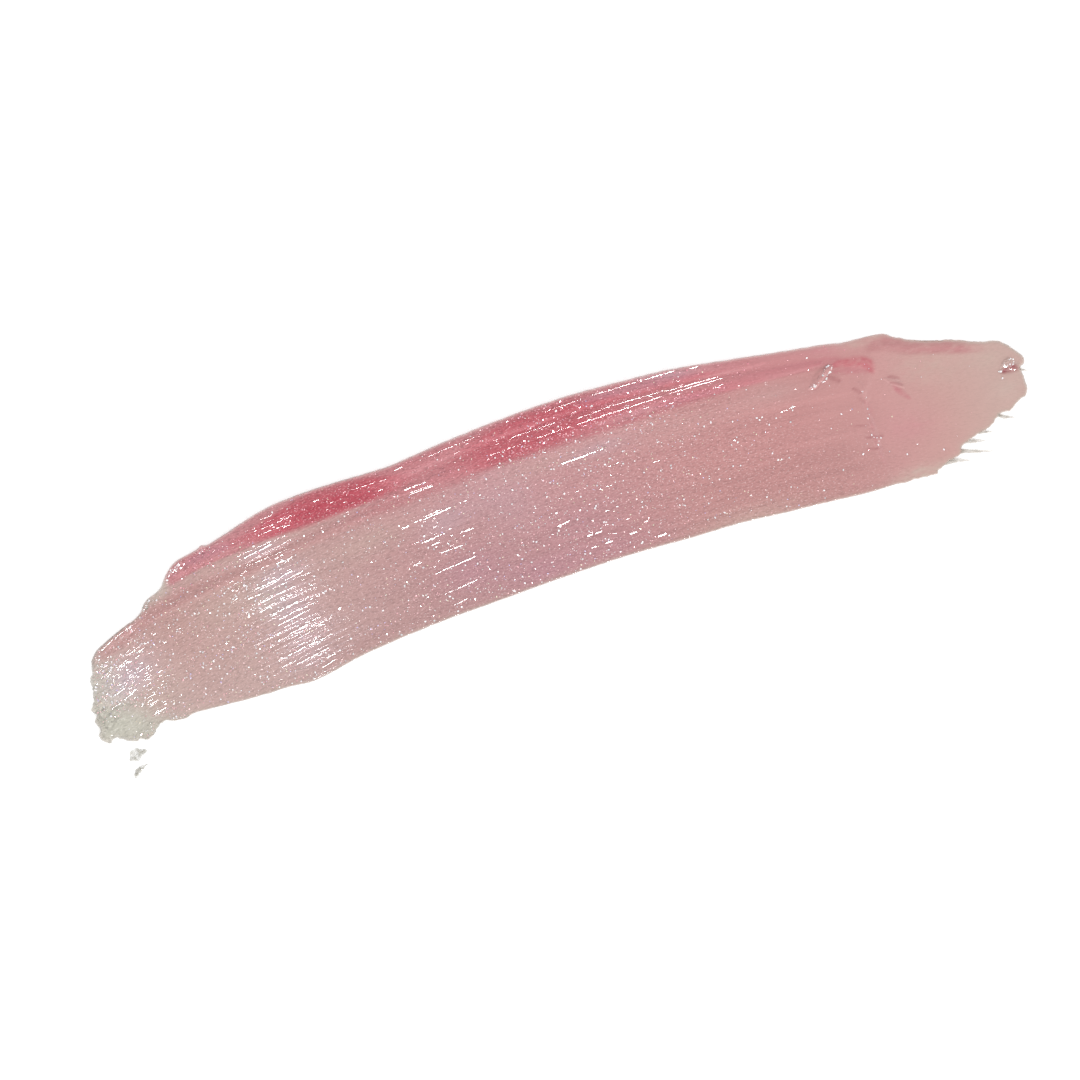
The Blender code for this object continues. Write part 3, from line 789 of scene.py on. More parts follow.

# Soft patches of pigment. The lavender ones are painted sheen, the veil round the clusters of glints, and
# the mauve ones are the pearl's tint with painted sheen
BLOTS = tuple(Blot(*row) for row in (
    (-28.4, -3.9, 1.5, 1.3, 0, Hue.CLEAR, 0.95), (-27.2, -4.2, 1.2, 0.7, -10, Hue.CLEAR, 0.70),
    (-26.6, -4.9, 1.8, 0.6, -8, Hue.CLEAR, 0.80), (-29.1, -2.0, 0.5, 1.8, -10, Hue.CLEAR, 0.80),
    (-28.0, -1.4, 0.9, 1.0, 0, Hue.CLEAR, 0.45), (-26.6, -1.6, 1.5, 1.0, 20, Hue.LAVENDER, 0.60),
    (-25.4, -3.0, 1.3, 0.9, 20, Hue.BEIGE, 0.45), (-19.5, 0.6, 2.2, 0.9, 8, Hue.BEIGE, 0.45),
    (-17.2, 0.2, 1.1, 1.3, 8, Hue.CLEAR, 0.30), (-16.2, 1.2, 1.4, 0.7, 8, Hue.LAVENDER, 0.45),
    (-16.9, 3.1, 1.2, 0.25, 8, Hue.LAVENDER, 0.40), (-16.2, -0.9, 1.3, 1.4, 8, Hue.LAVENDER, 0.40),
    (-16.0, -3.6, 1.4, 1.0, 8, Hue.LAVENDER, 0.20), (-10.4, 1.5, 2.6, 0.8, 6, Hue.BEIGE, 0.40),
    (-12.5, -4.2, 2.5, 0.6, 6, Hue.DUSK, 0.25), (-5.8, 1.2, 1.4, 0.7, 4, Hue.LAVENDER, 0.30),
    (-5.0, -2.2, 2.2, 1.4, 2, Hue.MAUVE, 0.45), (-3.6, 1.6, 2.0, 0.9, 0, Hue.LAVENDER, 0.10),
    (-1.5, 0.9, 1.5, 1.6, 0, Hue.LAVENDER, 0.12), (-1.2, -3.4, 2.2, 0.9, 0, Hue.MAUVE, 0.45),
    (0.8, 2.6, 2.6, 0.6, 0, Hue.BEIGE, 0.22), (1.6, -1.6, 2.4, 1.4, -2, Hue.MAUVE, 0.25),
    (3.4, -3.5, 2.8, 0.7, 0, Hue.MAUVE, 0.25), (4.5, 2.4, 1.6, 0.4, 0, Hue.LAVENDER, 0.30),
    (9.5, 2.2, 4.5, 0.9, -3, Hue.PALE, 0.25), (12.0, -4.3, 3.5, 0.6, -3, Hue.BEIGE, 0.35),
    (15.5, 2.2, 2.2, 0.7, -8, Hue.PALE, 0.35), (17.6, -3.6, 2.4, 1.1, -8, Hue.DUSK, 0.25),
    (24.8, 0.8, 2.2, 1.2, -20, Hue.BEIGE, 0.40), (28.9, -2.0, 0.9, 0.7, 10, Hue.CLEAR, 0.15),
    (28.4, 0.0, 1.4, 0.6, -15, Hue.BEIGE, 0.50), (22.6, -2.4, 1.6, 0.9, -10, Hue.PINK, 0.40),
    (22.4, -5.2, 1.6, 0.45, -3, Hue.BEIGE, 0.75), (21.0, 3.40, 1.4, 0.24, -14, Hue.BEIGE, 0.50),
    (22.4, 3.40, 0.5, 0.22, -20, Hue.BEIGE, 0.40), (15.5, 4.5, 3.5, 0.35, -9, Hue.PALE, 0.35),
    (19.0, 3.7, 1.6, 0.35, -9, Hue.PINK, 0.50), (-23.4, 2.5, 1.3, 0.45, 20, Hue.CLEAR, 0.50),
    (-22.7, 3.2, 0.7, 0.35, 40, Hue.CLEAR, 0.60), (-21.5, 2.9, 1.6, 0.35, 10, Hue.PALE, 0.35),
))

# Paler stretches of the thick edge, over its bands. The two at x 11.2 and x 9.6 are painted highlight where
# the crest catches the light.
LIFTS_AND_HIGHLIGHTS = tuple(Blot(*row) for row in (
    (-21.9, 3.30, 0.9, 0.40, 35, Hue.PINK, 0.60), (-18.2, 4.45, 1.5, 0.35, 10, Hue.PINK, 0.55),
    (-11.0, 5.32, 1.8, 0.24, 0, Hue.ROSE, 0.45), (-15.0, 5.20, 1.4, 0.22, 10, Hue.PINK, 0.35),
    (11.2, 5.05, 2.6, 0.22, -12, Hue.PINK, 0.55), (5.4, 3.84, 1.9, 0.16, 0, Hue.PINK, 0.35),
    (9.6, 5.30, 1.6, 0.16, -10, Hue.LAVENDER, 0.35),
))


def stained(colour: np.ndarray, hue: Hue, cover: np.ndarray) -> np.ndarray:
    """The colours with a hue laid over them."""
    return colour + (linear(hue.value) - colour) * cover[..., None]


class PaintScheme:
    """The smear's colour over every point of its plan, as it would look on white."""

    sheen: float = 0.035  # what the coat mirrors of the room
    light: float = 1.105  # how strongly the room lights what lies under it
    rim_run: tuple[float, float] = (0.03, 0.20)  # how far in from the edge its paler rim fades
    solid: tuple[float, float] = (0.26, 0.09)  # how far in the gloss covers fully, at the start and beyond

    streaks = (Ripple(61, 6.0, 0.30), Ripple(62, 3.0, 0.13, 0.6))
    clouds = (Ripple(63, 1.3, 0.9), Ripple(64, 0.5, 0.4, 0.5))
    tears = (Ripple(65, 0.38, 0.20), Ripple(66, 0.14, 0.09, 0.5))

    def __init__(self, relief: Relief) -> None:
        """Keeps the relief, whose rim the paint follows."""
        self.relief = relief
        self.wash = Wash()

    def at(self, x: np.ndarray, y: np.ndarray) -> np.ndarray:
        """The colour and the cover at each point.

        Args:
            x: along the stroke, in mm.
            y: across the stroke, in mm.

        Returns:
            Red, green, blue in linear light, and alpha.
        """
        s, _ = SWEEP.arc(x, y)
        inset = self.relief.inset(x, y)
        colour = self.rimmed(self.marked(x, y), x, y, inset)
        alpha = 0.35 + 0.65 * smoothstep(0.0, 1.0, inset / np.interp(s, [-28.5, -27.0], self.solid))
        return np.concatenate([self.under_light(colour), alpha[..., None]], axis=-1)

    def marked(self, x: np.ndarray, y: np.ndarray) -> np.ndarray:
        """The washes with every mark laid over them, streaked by the bristles."""
        s, t = SWEEP.arc(x, y)
        streaky = layered(self.streaks, s, t)
        torn = layered(self.tears, x, y) * smoothstep(17.0, 19.2, x)
        uneven = 1.0 + 0.14 * streaky * (s < 19) + 0.4 * torn
        colour = self.wash.colour(s, t)
        for mark in BLOTS + BANDS + LIFTS_AND_HIGHLIGHTS:
            colour = stained(colour, mark.hue, np.clip(mark.cover(x, y) * uneven, 0.0, 1.0))
        combed = 1.0 - smoothstep(18.0, 21.0, s)
        shade = 1.0 + 0.024 * streaky * combed + 0.014 * layered(self.clouds, x, y)
        return colour * shade[..., None]

    def rimmed(self, colour: np.ndarray, x: np.ndarray, y: np.ndarray, inset: np.ndarray) -> np.ndarray:
        """The colour with the smear's paler rim, partly the thinning gloss's own tint and partly painted
        reflection and shade of its steep edge, and a painted shadow line above the start.
        """
        s, t = SWEEP.arc(x, y)
        thin_side = np.clip(1.0 - smoothstep(0.0, 2.0, t) + smoothstep(22.0, 24.0, s), 0.0, 1.0)
        # Paler, greyer rim: the gloss's own tint where it thins, with painted reflection and shade of the
        # edge
        rim = (0.22 + 0.18 * thin_side) * (1.0 - smoothstep(*self.rim_run, inset))
        rim = rim + 0.12 * thin_side * (1.0 - smoothstep(0.1, 0.5, inset))
        # Painted shadow: a thin dark line just outside the rim at the start, where the edge refracts and
        # shades
        rim_shadow = np.exp(-(((x + 26.6) / 1.6) ** 2)) * (y > -0.5) * (1.0 - smoothstep(0.03, 0.16, inset))
        return stained(stained(colour, Hue.RIM, rim), Hue.BROWN, 0.8 * rim_shadow)

    def under_light(self, colour: np.ndarray) -> np.ndarray:
        """The pigment that the room's light turns into a colour."""
        return np.clip((colour - self.sheen) / self.light, 0.0, 1.0)

    def shimmer(self, x: np.ndarray, y: np.ndarray) -> np.ndarray:
        """How strongly the pigment's grains show at each point, 0 to 1."""
        return 1.0 - 0.80 * smoothstep(11.5, 20.5, x + 0.8 * y)


RELIEF = Relief()
PAINT = PaintScheme(RELIEF)


class Tree:
    """A material's node tree, with a short way to add and join nodes."""

    def __init__(self, name: str) -> None:
        """Starts a material with its Principled shader."""
        self.material = bpy.data.materials.new(name)
        self.material.use_nodes = True
        self.nodes = self.material.node_tree.nodes
        self.links = self.material.node_tree.links
        self.shader = self.nodes["Principled BSDF"]

    def add(self, kind: str, **settings: object) -> bpy.types.Node:
        """Adds a node and sets its properties.

        Args:
            kind: the node's type.
            **settings: its properties by name.

        Returns:
            The new node.
        """
        node = self.nodes.new(kind)
        for key, value in settings.items():
            setattr(node, key, value)
        return node

    def attribute(self, name: str, output: str) -> Socket:
        """One output of a node that reads a mesh attribute."""
        return self.add("ShaderNodeAttribute", attribute_name=name).outputs[output]

    def join(self, source: Socket, target: Socket) -> None:
        """Links one socket to another."""
        self.links.new(source, target)

    def noise(self, vector: Socket, scale: tuple[float, float, float], detail: float) -> Socket:
        """Noise over a stretched space.

        Args:
            vector: the coordinates.
            scale: waves for each unit of each coordinate.
            detail: how many finer layers it has.

        Returns:
            The noise's value, 0 to 1.
        """
        stretch = self.add("ShaderNodeMapping")
        stretch.inputs["Scale"].default_value = scale
        self.join(vector, stretch.inputs["Vector"])
        noise = self.add("ShaderNodeTexNoise")
        noise.inputs["Scale"].default_value = 1.0
        noise.inputs["Detail"].default_value = detail
        self.join(stretch.outputs["Vector"], noise.inputs["Vector"])
        return noise.outputs["Fac"]

    def bump(self, height: Socket, depth: float, under: Socket | None = None) -> Socket:
        """Turns a value into relief.

        Args:
            height: the value.
            depth: what 1 stands for, in metres.
            under: the normal that it adds to.

        Returns:
            The new normal.
        """
        bump = self.add("ShaderNodeBump")
        bump.inputs["Distance"].default_value = depth
        bump.inputs["Strength"].default_value = 1.0
        self.join(height, bump.inputs["Height"])
        if under:
            self.join(under, bump.inputs["Normal"])
        return bump.outputs["Normal"]

    def set(self, **values: float) -> None:
        """Sets the shader's own sockets. A name's underscores stand for spaces."""
        for key, value in values.items():
            self.shader.inputs[key.replace("_", " ")].default_value = value


@dataclass(frozen=True)
class GlossFinish:
    """Wet gloss over shimmering pigment."""

    name: str
    pearl: Colour = (236, 206, 204)  # the light grains
    light_grain: float = 0.55  # how strongly the light grains show
    light_levels: tuple[float, float] = (0.54, 0.76)  # the noise where one begins and where it's full
    light_squash: float = 0.65  # its width as a share of its length
    dark_grain: float = 0.22
    dark_levels: tuple[float, float] = (0.45, 0.70)
    dark_squash: float = 0.28
    dark_share: float = 0.28  # the ground is this much lighter to make up for the dark grains
    grain_size: float = 0.085
    body_roughness: float = 0.38
    coat_roughness: float = 0.04
    pebble_depth: float = 0.0016
    hair_depth: float = 0.0022
    hair_waves: tuple[float, float, float] = (0.7, 8.0, 1.0)  # for each mm along, across and up
    pebble_waves: float = 6500.0  # for each metre

    def grains(
        self, tree: Tree, seed: float, levels: tuple[float, float], amount: float, squash: float
    ) -> Socket:
        """Scattered grains, longer along the stroke than across it.

        Args:
            tree: the material's tree.
            seed: moves the pattern.
            levels: the noise values where a grain begins and where it's full.
            amount: its strength there.
            squash: its width as a share of its length.

        Returns:
            The grains' strength, 0 to amount.
        """
        moved = tree.add("ShaderNodeVectorMath", operation="ADD")
        moved.inputs[1].default_value = (seed, seed, seed)
        tree.join(tree.attribute("sweep", "Vector"), moved.inputs[0])
        waves = 1.0 / self.grain_size
        noise = tree.noise(moved.outputs["Vector"], (waves * squash, waves, waves), 1.5)
        level = tree.add("ShaderNodeMapRange", interpolation_type="SMOOTHSTEP")
        level.inputs["From Min"].default_value, level.inputs["From Max"].default_value = levels
        level.inputs["To Max"].default_value = amount
        tree.join(noise, level.inputs["Value"])
        shown = tree.add("ShaderNodeMath", operation="MULTIPLY")
        tree.join(level.outputs["Result"], shown.inputs[0])
        tree.join(tree.attribute("shimmer", "Fac"), shown.inputs[1])
        return shown.outputs["Value"]

    def build(self) -> bpy.types.Material:
        """Makes the material.

        Returns:
            A Principled material that reads the paint, shimmer and sweep attributes.
        """
        tree = Tree(self.name)
        dark = tree.add("ShaderNodeMath", operation="SUBTRACT")
        dark.inputs[0].default_value = 1.0 + self.dark_share * self.dark_grain
        dark_grains = self.grains(tree, 7.3, self.dark_levels, self.dark_grain, self.dark_squash)
        tree.join(dark_grains, dark.inputs[1])
        ground = tree.add("ShaderNodeVectorMath", operation="SCALE")
        tree.join(tree.attribute("paint", "Color"), ground.inputs[0])
        tree.join(dark.outputs["Value"], ground.inputs["Scale"])
        pearly = tree.add("ShaderNodeMix", data_type="RGBA")
        light_grains = self.grains(tree, 0.0, self.light_levels, self.light_grain, self.light_squash)
        tree.join(light_grains, pearly.inputs["Factor"])
        tree.join(ground.outputs["Vector"], pearly.inputs["A"])
        pearly.inputs["B"].default_value = (*linear(self.pearl), 1.0)
        tree.join(pearly.outputs["Result"], tree.shader.inputs["Base Color"])
        tree.join(tree.attribute("paint", "Alpha"), tree.shader.inputs["Alpha"])
        hair = tree.noise(tree.attribute("sweep", "Vector"), self.hair_waves, 1.0)
        place = tree.add("ShaderNodeTexCoord").outputs["Object"]
        pebbles = tree.noise(place, (self.pebble_waves,) * 3, 1.0)
        combed = tree.bump(hair, self.hair_depth * MM)
        normal = tree.bump(pebbles, self.pebble_depth * MM, combed)
        tree.join(normal, tree.shader.inputs["Normal"])
        tree.join(normal, tree.shader.inputs["Coat Normal"])
        tree.set(
            Roughness=self.body_roughness, Specular_IOR_Level=0.2, Coat_Weight=1.0,
            Coat_Roughness=self.coat_roughness, IOR=1.45,
        )
        return tree.material


@dataclass(frozen=True)
class FlakeFinish:
    """Bright metal-coated mica, a little uneven from flake to flake."""

    name: str
    bright: Colour
    dark: Colour
    roughness: float = 0.16
    tint_waves: float = 2600.0  # how many times the tint changes in a metre
    tint_levels: tuple[float, float] = (0.36, 0.64)  # the noise where it is all dark and all bright

    def build(self) -> bpy.types.Material:
        """Makes the material.

        Returns:
            A metallic material whose tint wanders between its two colours.
        """
        tree = Tree(self.name)
        place = tree.add("ShaderNodeTexCoord").outputs["Object"]
        wander = tree.noise(place, (self.tint_waves,) * 3, 0.0)
        ramp = tree.add("ShaderNodeValToRGB")
        for stop, level, tint in zip(ramp.color_ramp.elements, self.tint_levels, (self.dark, self.bright)):
            stop.position = level
            stop.color = (*linear(tint), 1.0)
        tree.join(wander, ramp.inputs["Fac"])
        tree.join(ramp.outputs["Color"], tree.shader.inputs["Base Color"])
        tree.set(Metallic=1.0, Roughness=self.roughness)
        return tree.material


class Finish(Enum):
    """The finishes of the smear's pieces."""

    SHEER = GlossFinish("sheer gloss")
    TAIL = GlossFinish(
        "thin gloss", light_grain=0.45, dark_grain=0.30, body_roughness=0.5, coat_roughness=0.25,
        pebble_depth=0.0012, hair_depth=0.0006,
    )
    CLEAR = GlossFinish("clear gloss", pearl=(240, 236, 232), light_grain=0.45, pebble_depth=0.0024)
    DEEP = GlossFinish("deep gloss", pearl=(236, 176, 182), light_grain=0.60, dark_grain=0.30)
    STRAND = GlossFinish("gloss strands", light_grain=0.3, dark_grain=0.1, pebble_depth=0.0, hair_depth=0.0)
    SILVER = FlakeFinish("silver mica", (255, 255, 255), (236, 232, 236))
    ROSE = FlakeFinish("rose mica", (255, 222, 222), (244, 190, 196))
    PINK = FlakeFinish("pink mica", (252, 196, 206), (230, 152, 166))
    LILAC = FlakeFinish("lilac mica", (236, 226, 255), (214, 196, 236))
    GOLD = FlakeFinish("gold mica", (255, 246, 226), (226, 214, 190))

    @cached_property
    def material(self) -> bpy.types.Material:
        """The finish's material, made once."""
        return self.value.build()


@dataclass
class Piece:
    """One visible piece of the smear."""

    name: str
    finish: Finish
    slot: str
    replaces: tuple = ()

    def hand_over(self, obj: bpy.types.Object) -> None:
        """Names the piece, dresses it, and puts it on the frame in place of its CAD nodes.

        Args:
            obj: the finished mesh object, at the origin.
        """
        obj.name = obj.data.name = f"{self.name}_gloss" if self.replaces else self.name
        obj.data.materials.clear()
        obj.data.materials.append(self.finish.material)
        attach(obj, "root")
        if self.replaces:
            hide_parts(*self.replaces)
        log.info("%s: %d faces", self.name, len(obj.data.polygons))


def blank_grid(columns: int, rows: int) -> bpy.types.Object:
    """A flat unit grid whose border is turned down and closed by one face below.

    Args:
        columns: cells along x.
        rows: cells along y.

    Returns:
        The closed grid, its top at z 0 and its bottom at z -1, centred on the origin.
    """
    bpy.ops.object.select_all(action="DESELECT")
    bpy.ops.mesh.primitive_grid_add(x_subdivisions=columns, y_subdivisions=rows, size=1.0)
    bpy.ops.object.mode_set(mode="EDIT")
    bpy.ops.mesh.select_mode(type="EDGE")
    bpy.ops.mesh.select_all(action="DESELECT")
    bpy.ops.mesh.select_non_manifold(
        use_wire=False, use_multi_face=False, use_non_contiguous=False, use_verts=False
    )
    bpy.ops.mesh.extrude_region_move(TRANSFORM_OT_translate={"value": (0.0, 0.0, -1.0)})
    bpy.ops.mesh.edge_face_add()
    bpy.ops.mesh.select_all(action="SELECT")
    bpy.ops.mesh.normals_make_consistent(inside=False)
    bpy.ops.object.mode_set(mode="OBJECT")
    return bpy.context.object


def vertices_of(obj: bpy.types.Object) -> np.ndarray:
    """The mesh's vertices, one row each."""
    flat = np.empty(len(obj.data.vertices) * 3, np.float32)
    obj.data.vertices.foreach_get("co", flat)
    return flat.reshape(-1, 3).astype(float)


def parted(at: np.ndarray) -> tuple[np.ndarray, np.ndarray, np.ndarray]:
    """Where a blank grid's vertices lie.

    Args:
        at: the vertices, one row each.

    Returns:
        u, 0 to 1 along the grid, v, -1 to 1 across it, and whether each one is on its flat bottom.
    """
    return at[:, 0] + 0.5, at[:, 1] * 2.0, at[:, 2] < -0.5


def copied(obj: bpy.types.Object, count: int) -> np.ndarray:
    """Copies a shape in its own place, all in one mesh.

    Args:
        obj: the shape, which is the active object.
        count: how many of it there are to be.

    Returns:
        The vertices of each copy.
    """
    bpy.ops.object.modifier_add(type="ARRAY")
    copies = obj.modifiers[0]
    copies.count = count
    copies.use_relative_offset = False
    bpy.ops.object.modifier_apply(modifier=copies.name)
    return vertices_of(obj).reshape(count, -1, 3)


def shape(obj: bpy.types.Object, x: np.ndarray, y: np.ndarray, z: np.ndarray, crease: float = 70.0) -> None:
    """Moves the vertices to their places and paints them.

    Args:
        obj: the object whose mesh is shaped.
        x: along the stroke, in the stroke's own mm.
        y: across it.
        z: above the surface.
        crease: the angle in degrees from which an edge stays sharp.
    """
    mesh = obj.data
    places = np.stack([(x + SHIFT_X) * MM, (y + SHIFT_Y) * MM, z * MM], axis=1)
    mesh.vertices.foreach_set("co", places.astype(np.float32).ravel())
    s, t = SWEEP.arc(x, y)
    paint = mesh.color_attributes.new(name="paint", type="FLOAT_COLOR", domain="POINT")
    paint.data.foreach_set("color", PAINT.at(x, y).astype(np.float32).ravel())
    shimmer = mesh.attributes.new(name="shimmer", type="FLOAT", domain="POINT")
    shimmer.data.foreach_set("value", PAINT.shimmer(x, y).astype(np.float32))
    sweep = mesh.attributes.new(name="sweep", type="FLOAT_VECTOR", domain="POINT")
    sweep.data.foreach_set("vector", np.stack([s, t, t * 0], axis=1).astype(np.float32).ravel())
    mesh.update()
    bpy.ops.object.select_all(action="DESELECT")
    obj.select_set(True)
    bpy.context.view_layer.objects.active = obj
    bpy.ops.object.shade_smooth_by_angle(angle=math.radians(crease))


@dataclass
class Film(Piece):
    """A film between four edges: lower and upper run with x, start and end from lower to upper."""

    lower: np.ndarray = field(default=None, repr=False)
    upper: np.ndarray = field(default=None, repr=False)
    start: np.ndarray = field(default=None, repr=False)
    end: np.ndarray = field(default=None, repr=False)
    cells: tuple[int, int] = (100, 60)
    crowded: float = 0.28  # how far the cells crowd to the lower and upper edges, where the rim curves

    def spread(self, u: np.ndarray, v: np.ndarray) -> Pair:
        """Spreads a unit square over the film's plan.

        Args:
            u: 0 at the start edge, 1 at the end.
            v: 0 at the lower edge, 1 at the upper.

        Returns:
            x and y in the stroke's mm.
        """
        fine = 4 * max(self.cells)
        share = np.linspace(0.0, 1.0, fine)
        sides = [even_line(side, fine) for side in (self.lower, self.upper, self.start, self.end)]
        found = []
        for axis in (0, 1):
            lower, upper, start, end = (side[:, axis] for side in sides)
            low, high = (np.interp(u, share, side) for side in (lower, upper))
            near, far = (np.interp(v, share, side) for side in (start, end))
            flat_low = (1 - u) * lower[0] + u * lower[-1]
            flat_high = (1 - u) * upper[0] + u * upper[-1]
            flat = (1 - v) * flat_low + v * flat_high
            found.append((1 - v) * low + v * high + (1 - u) * near + u * far - flat)
        return found[0], found[1]

    def level(self, x: np.ndarray, y: np.ndarray) -> np.ndarray:
        """The film's top, in mm."""
        return RELIEF.skin(x, y)

    def build(self) -> None:
        """Makes the film."""
        obj = blank_grid(*self.cells)
        u, v, under = parted(vertices_of(obj))
        v = 0.5 + 0.5 * v
        v = (1.0 - self.crowded) * v + self.crowded * (0.5 - 0.5 * np.cos(np.pi * v))
        x, y = self.spread(u, v)
        z = np.where(under, 0.0, self.level(x, y))
        shape(obj, x, y, z)
        self.hand_over(obj)


class SheerFilm(Film):
    """The long middle film, which laps over both of its neighbours."""

    def level(self, x: np.ndarray, y: np.ndarray) -> np.ndarray:
        """The film's top, which dives under its neighbours past the seams."""
        outside = np.maximum(RELIEF.past_lap(x, y), -RELIEF.past_tip(x, y))
        return super().level(x, y) + SEAM_LIFT - SEAM_DIP * smoothstep(0.0, SEAM_RUN, outside)


class LappedFilm(Film):
    """A film whose inner side lies under the sheer film."""

    def level(self, x: np.ndarray, y: np.ndarray) -> np.ndarray:
        """The film's top, which dives under the sheer film past the seam."""
        inside = np.minimum(-RELIEF.past_lap(x, y), RELIEF.past_tip(x, y))
        return super().level(x, y) - SEAM_DIP * smoothstep(0.0, SEAM_RUN, inside)


@dataclass
class Deposit(Piece):
    """Gloss swept along a route on top of the films."""

    cells: tuple[int, int] = (100, 24)
    overlap: float = 1.08  # how far past its border it dives into the film, in half widths
    floor: float = 0.03

    def build(self) -> None:
        """Makes the deposit."""
        ridge = RIDGES[self.name]
        obj = blank_grid(*self.cells)
        u, v, under = parted(vertices_of(obj))
        x, y = swept(ridge, u, v, self.overlap)
        reach, _ = ridge.nearest(x, y, 1.5)
        top = RELIEF.skin(x, y) + ridge.rise(x, y) + SEAM_LIFT
        top = top - SEAM_DIP * smoothstep(1.0, self.overlap, reach)
        z = np.where(under, self.floor, np.maximum(top, self.floor + THINNEST_FILM))
        shape(obj, x, y, z)
        self.hand_over(obj)


def swept(route: Route, u: np.ndarray, v: np.ndarray, overlap: float) -> Pair:
    """Spreads a strip along a route, with its ends rounded.

    Args:
        route: the line and its half widths.
        u: 0 at its start, 1 at its end.
        v: -1 to 1 across it.
        overlap: the half width that v of 1 reaches, as a share of the route's own.

    Returns:
        x and y in the stroke's mm.
    """
    line = even_line(route.line, 400)
    heading = headings(line)
    line = np.vstack([line[0], line, line[-1]])
    heading = np.vstack([heading[0], heading, heading[-1]])
    line[0, :2] -= heading[0] * line[0, 2] * overlap
    line[-1, :2] += heading[-1] * line[-1, 2] * overlap
    length = lengths(line)
    place = u * length[-1]
    values = np.column_stack([line, heading])
    x, y, half, hx, hy = (np.interp(place, length, column) for column in values.T)
    half = half * rounded(np.minimum(place, length[-1] - place) / np.maximum(half, 1e-6))
    return x - hy * v * half * overlap, y + hx * v * half * overlap


@dataclass
class Sliver(Piece):
    """A wisp on the bare surface, blunt where it left the film and drawn out to a point."""

    points: tuple = ()
    thick: float = 0.05
    cells: tuple[int, int] = (40, 8)

    def build(self) -> None:
        """Makes the sliver."""
        obj = blank_grid(*self.cells)
        u, v, under = parted(vertices_of(obj))
        x, y = swept(Route(self.points), u, v, 1.0)
        bristled = 0.75 + 0.25 * Ripple(71).at(u * 14.0, v * 2.0)
        dome = np.clip(1.0 - v**2, 0.0, 1.0) ** 0.6 * bristled
        z = np.where(under, 0.0, np.maximum(self.thick * dome, THINNEST_SCRAP))
        shape(obj, x, y, z)
        grained = 0.75 + 0.25 * Ripple(72).at(u * 6.0, v * 3.0)
        thin(obj, 1.3 * smoothstep(0.0, 0.8, dome) * (1.0 - 0.6 * u) * grained, Hue.GREY)
        self.hand_over(obj)


def thin(obj: bpy.types.Object, alpha: np.ndarray, hue: Hue) -> None:
    """Repaints a piece as a thin trace of clear gloss.

    Args:
        obj: the piece.
        alpha: its cover at each vertex.
        hue: its colour.
    """
    repaint(obj, np.tile(PAINT.under_light(linear(hue.value)), (len(alpha), 1)), alpha)


def repaint(obj: bpy.types.Object, colour: np.ndarray, alpha: np.ndarray) -> None:
    """Paints a piece in colours of its own.

    Args:
        obj: the piece.
        colour: a row of linear light for each vertex.
        alpha: its cover at each vertex.
    """
    rgba = np.column_stack([colour, np.clip(alpha, 0.0, 1.0)])
    obj.data.color_attributes["paint"].data.foreach_set("color", rgba.astype(np.float32).ravel())


@dataclass
class Crumb(Piece):
    """A torn scrap of clear gloss on the bare surface."""

    points: tuple = ()
    thick: float = 0.09
    seed: int = 81
    cells: tuple[int, int] = (40, 24)

    def build(self) -> None:
        """Makes the crumb."""
        obj = blank_grid(*self.cells)
        u, v, under = parted(vertices_of(obj))
        x, y = swept(Route(self.points), u, v, 1.0)
        torn = layered((Ripple(self.seed, 0.16, 0.16), Ripple(self.seed + 1, 0.07, 0.07, 0.6)), x, y)
        x = x + Ripple(self.seed + 2, 0.2, 0.2, 0.05).at(x, y)
        y = y + Ripple(self.seed + 3, 0.2, 0.2, 0.06).at(x, y)
        dome = np.clip(1.0 - np.abs(v) ** 1.5, 0.0, 1.0) ** 0.7 * np.clip(0.6 + 0.4 * torn, 0.08, 1.0)
        z = np.where(under, 0.0, np.maximum(self.thick * dome, THINNEST_SCRAP))
        shape(obj, x, y, z)
        thin(obj, 0.16 + 0.86 * dome * (0.6 + 0.4 * torn), Hue.ASH)
        self.hand_over(obj)


@dataclass
class Froth(Piece):
    """Tiny bubbles along the rim of the start: each clump is x, y, spread and count."""

    clumps: tuple = ()
    sizes: tuple[float, float] = (0.022, 0.055)
    squat: float = 0.8  # a bubble's height as a share of its width
    cover: float = 0.75
    seed: int = 17

    def build(self) -> None:
        """Makes the bubbles, all copied from one ball."""
        rng = np.random.default_rng(self.seed)
        places = [rng.normal((x, y), spread, (count, 2)) for x, y, spread, count in self.clumps]
        places = np.vstack(places)
        places = places[inside_smear(*places.T)]
        bpy.ops.object.select_all(action="DESELECT")
        bpy.ops.mesh.primitive_uv_sphere_add(segments=10, ring_count=6, radius=1.0)
        obj = bpy.context.object
        ball = copied(obj, len(places))
        size = rng.uniform(*self.sizes, len(places))[:, None]
        x, y = (ball[:, :, axis] * size + places[:, axis, None] for axis in (0, 1))
        z = RELIEF.surface(*places.T)[:, None] + self.squat * ball[:, :, 2] * size
        shape(obj, x.ravel(), y.ravel(), z.ravel())
        # Each bubble is painted light on its top and its +y side as a painted glint, and dark below as
        # painted shade
        glint_share = smoothstep(0.45, 0.9, ball[:, :, 2].ravel() + 0.3 * ball[:, :, 1].ravel())[:, None]
        dark, bubble_glint = (PAINT.under_light(linear(hue.value)) for hue in (Hue.SOOT, Hue.FOAM))
        repaint(obj, dark + (bubble_glint - dark) * glint_share, np.full(len(glint_share), self.cover))
        self.hand_over(obj)


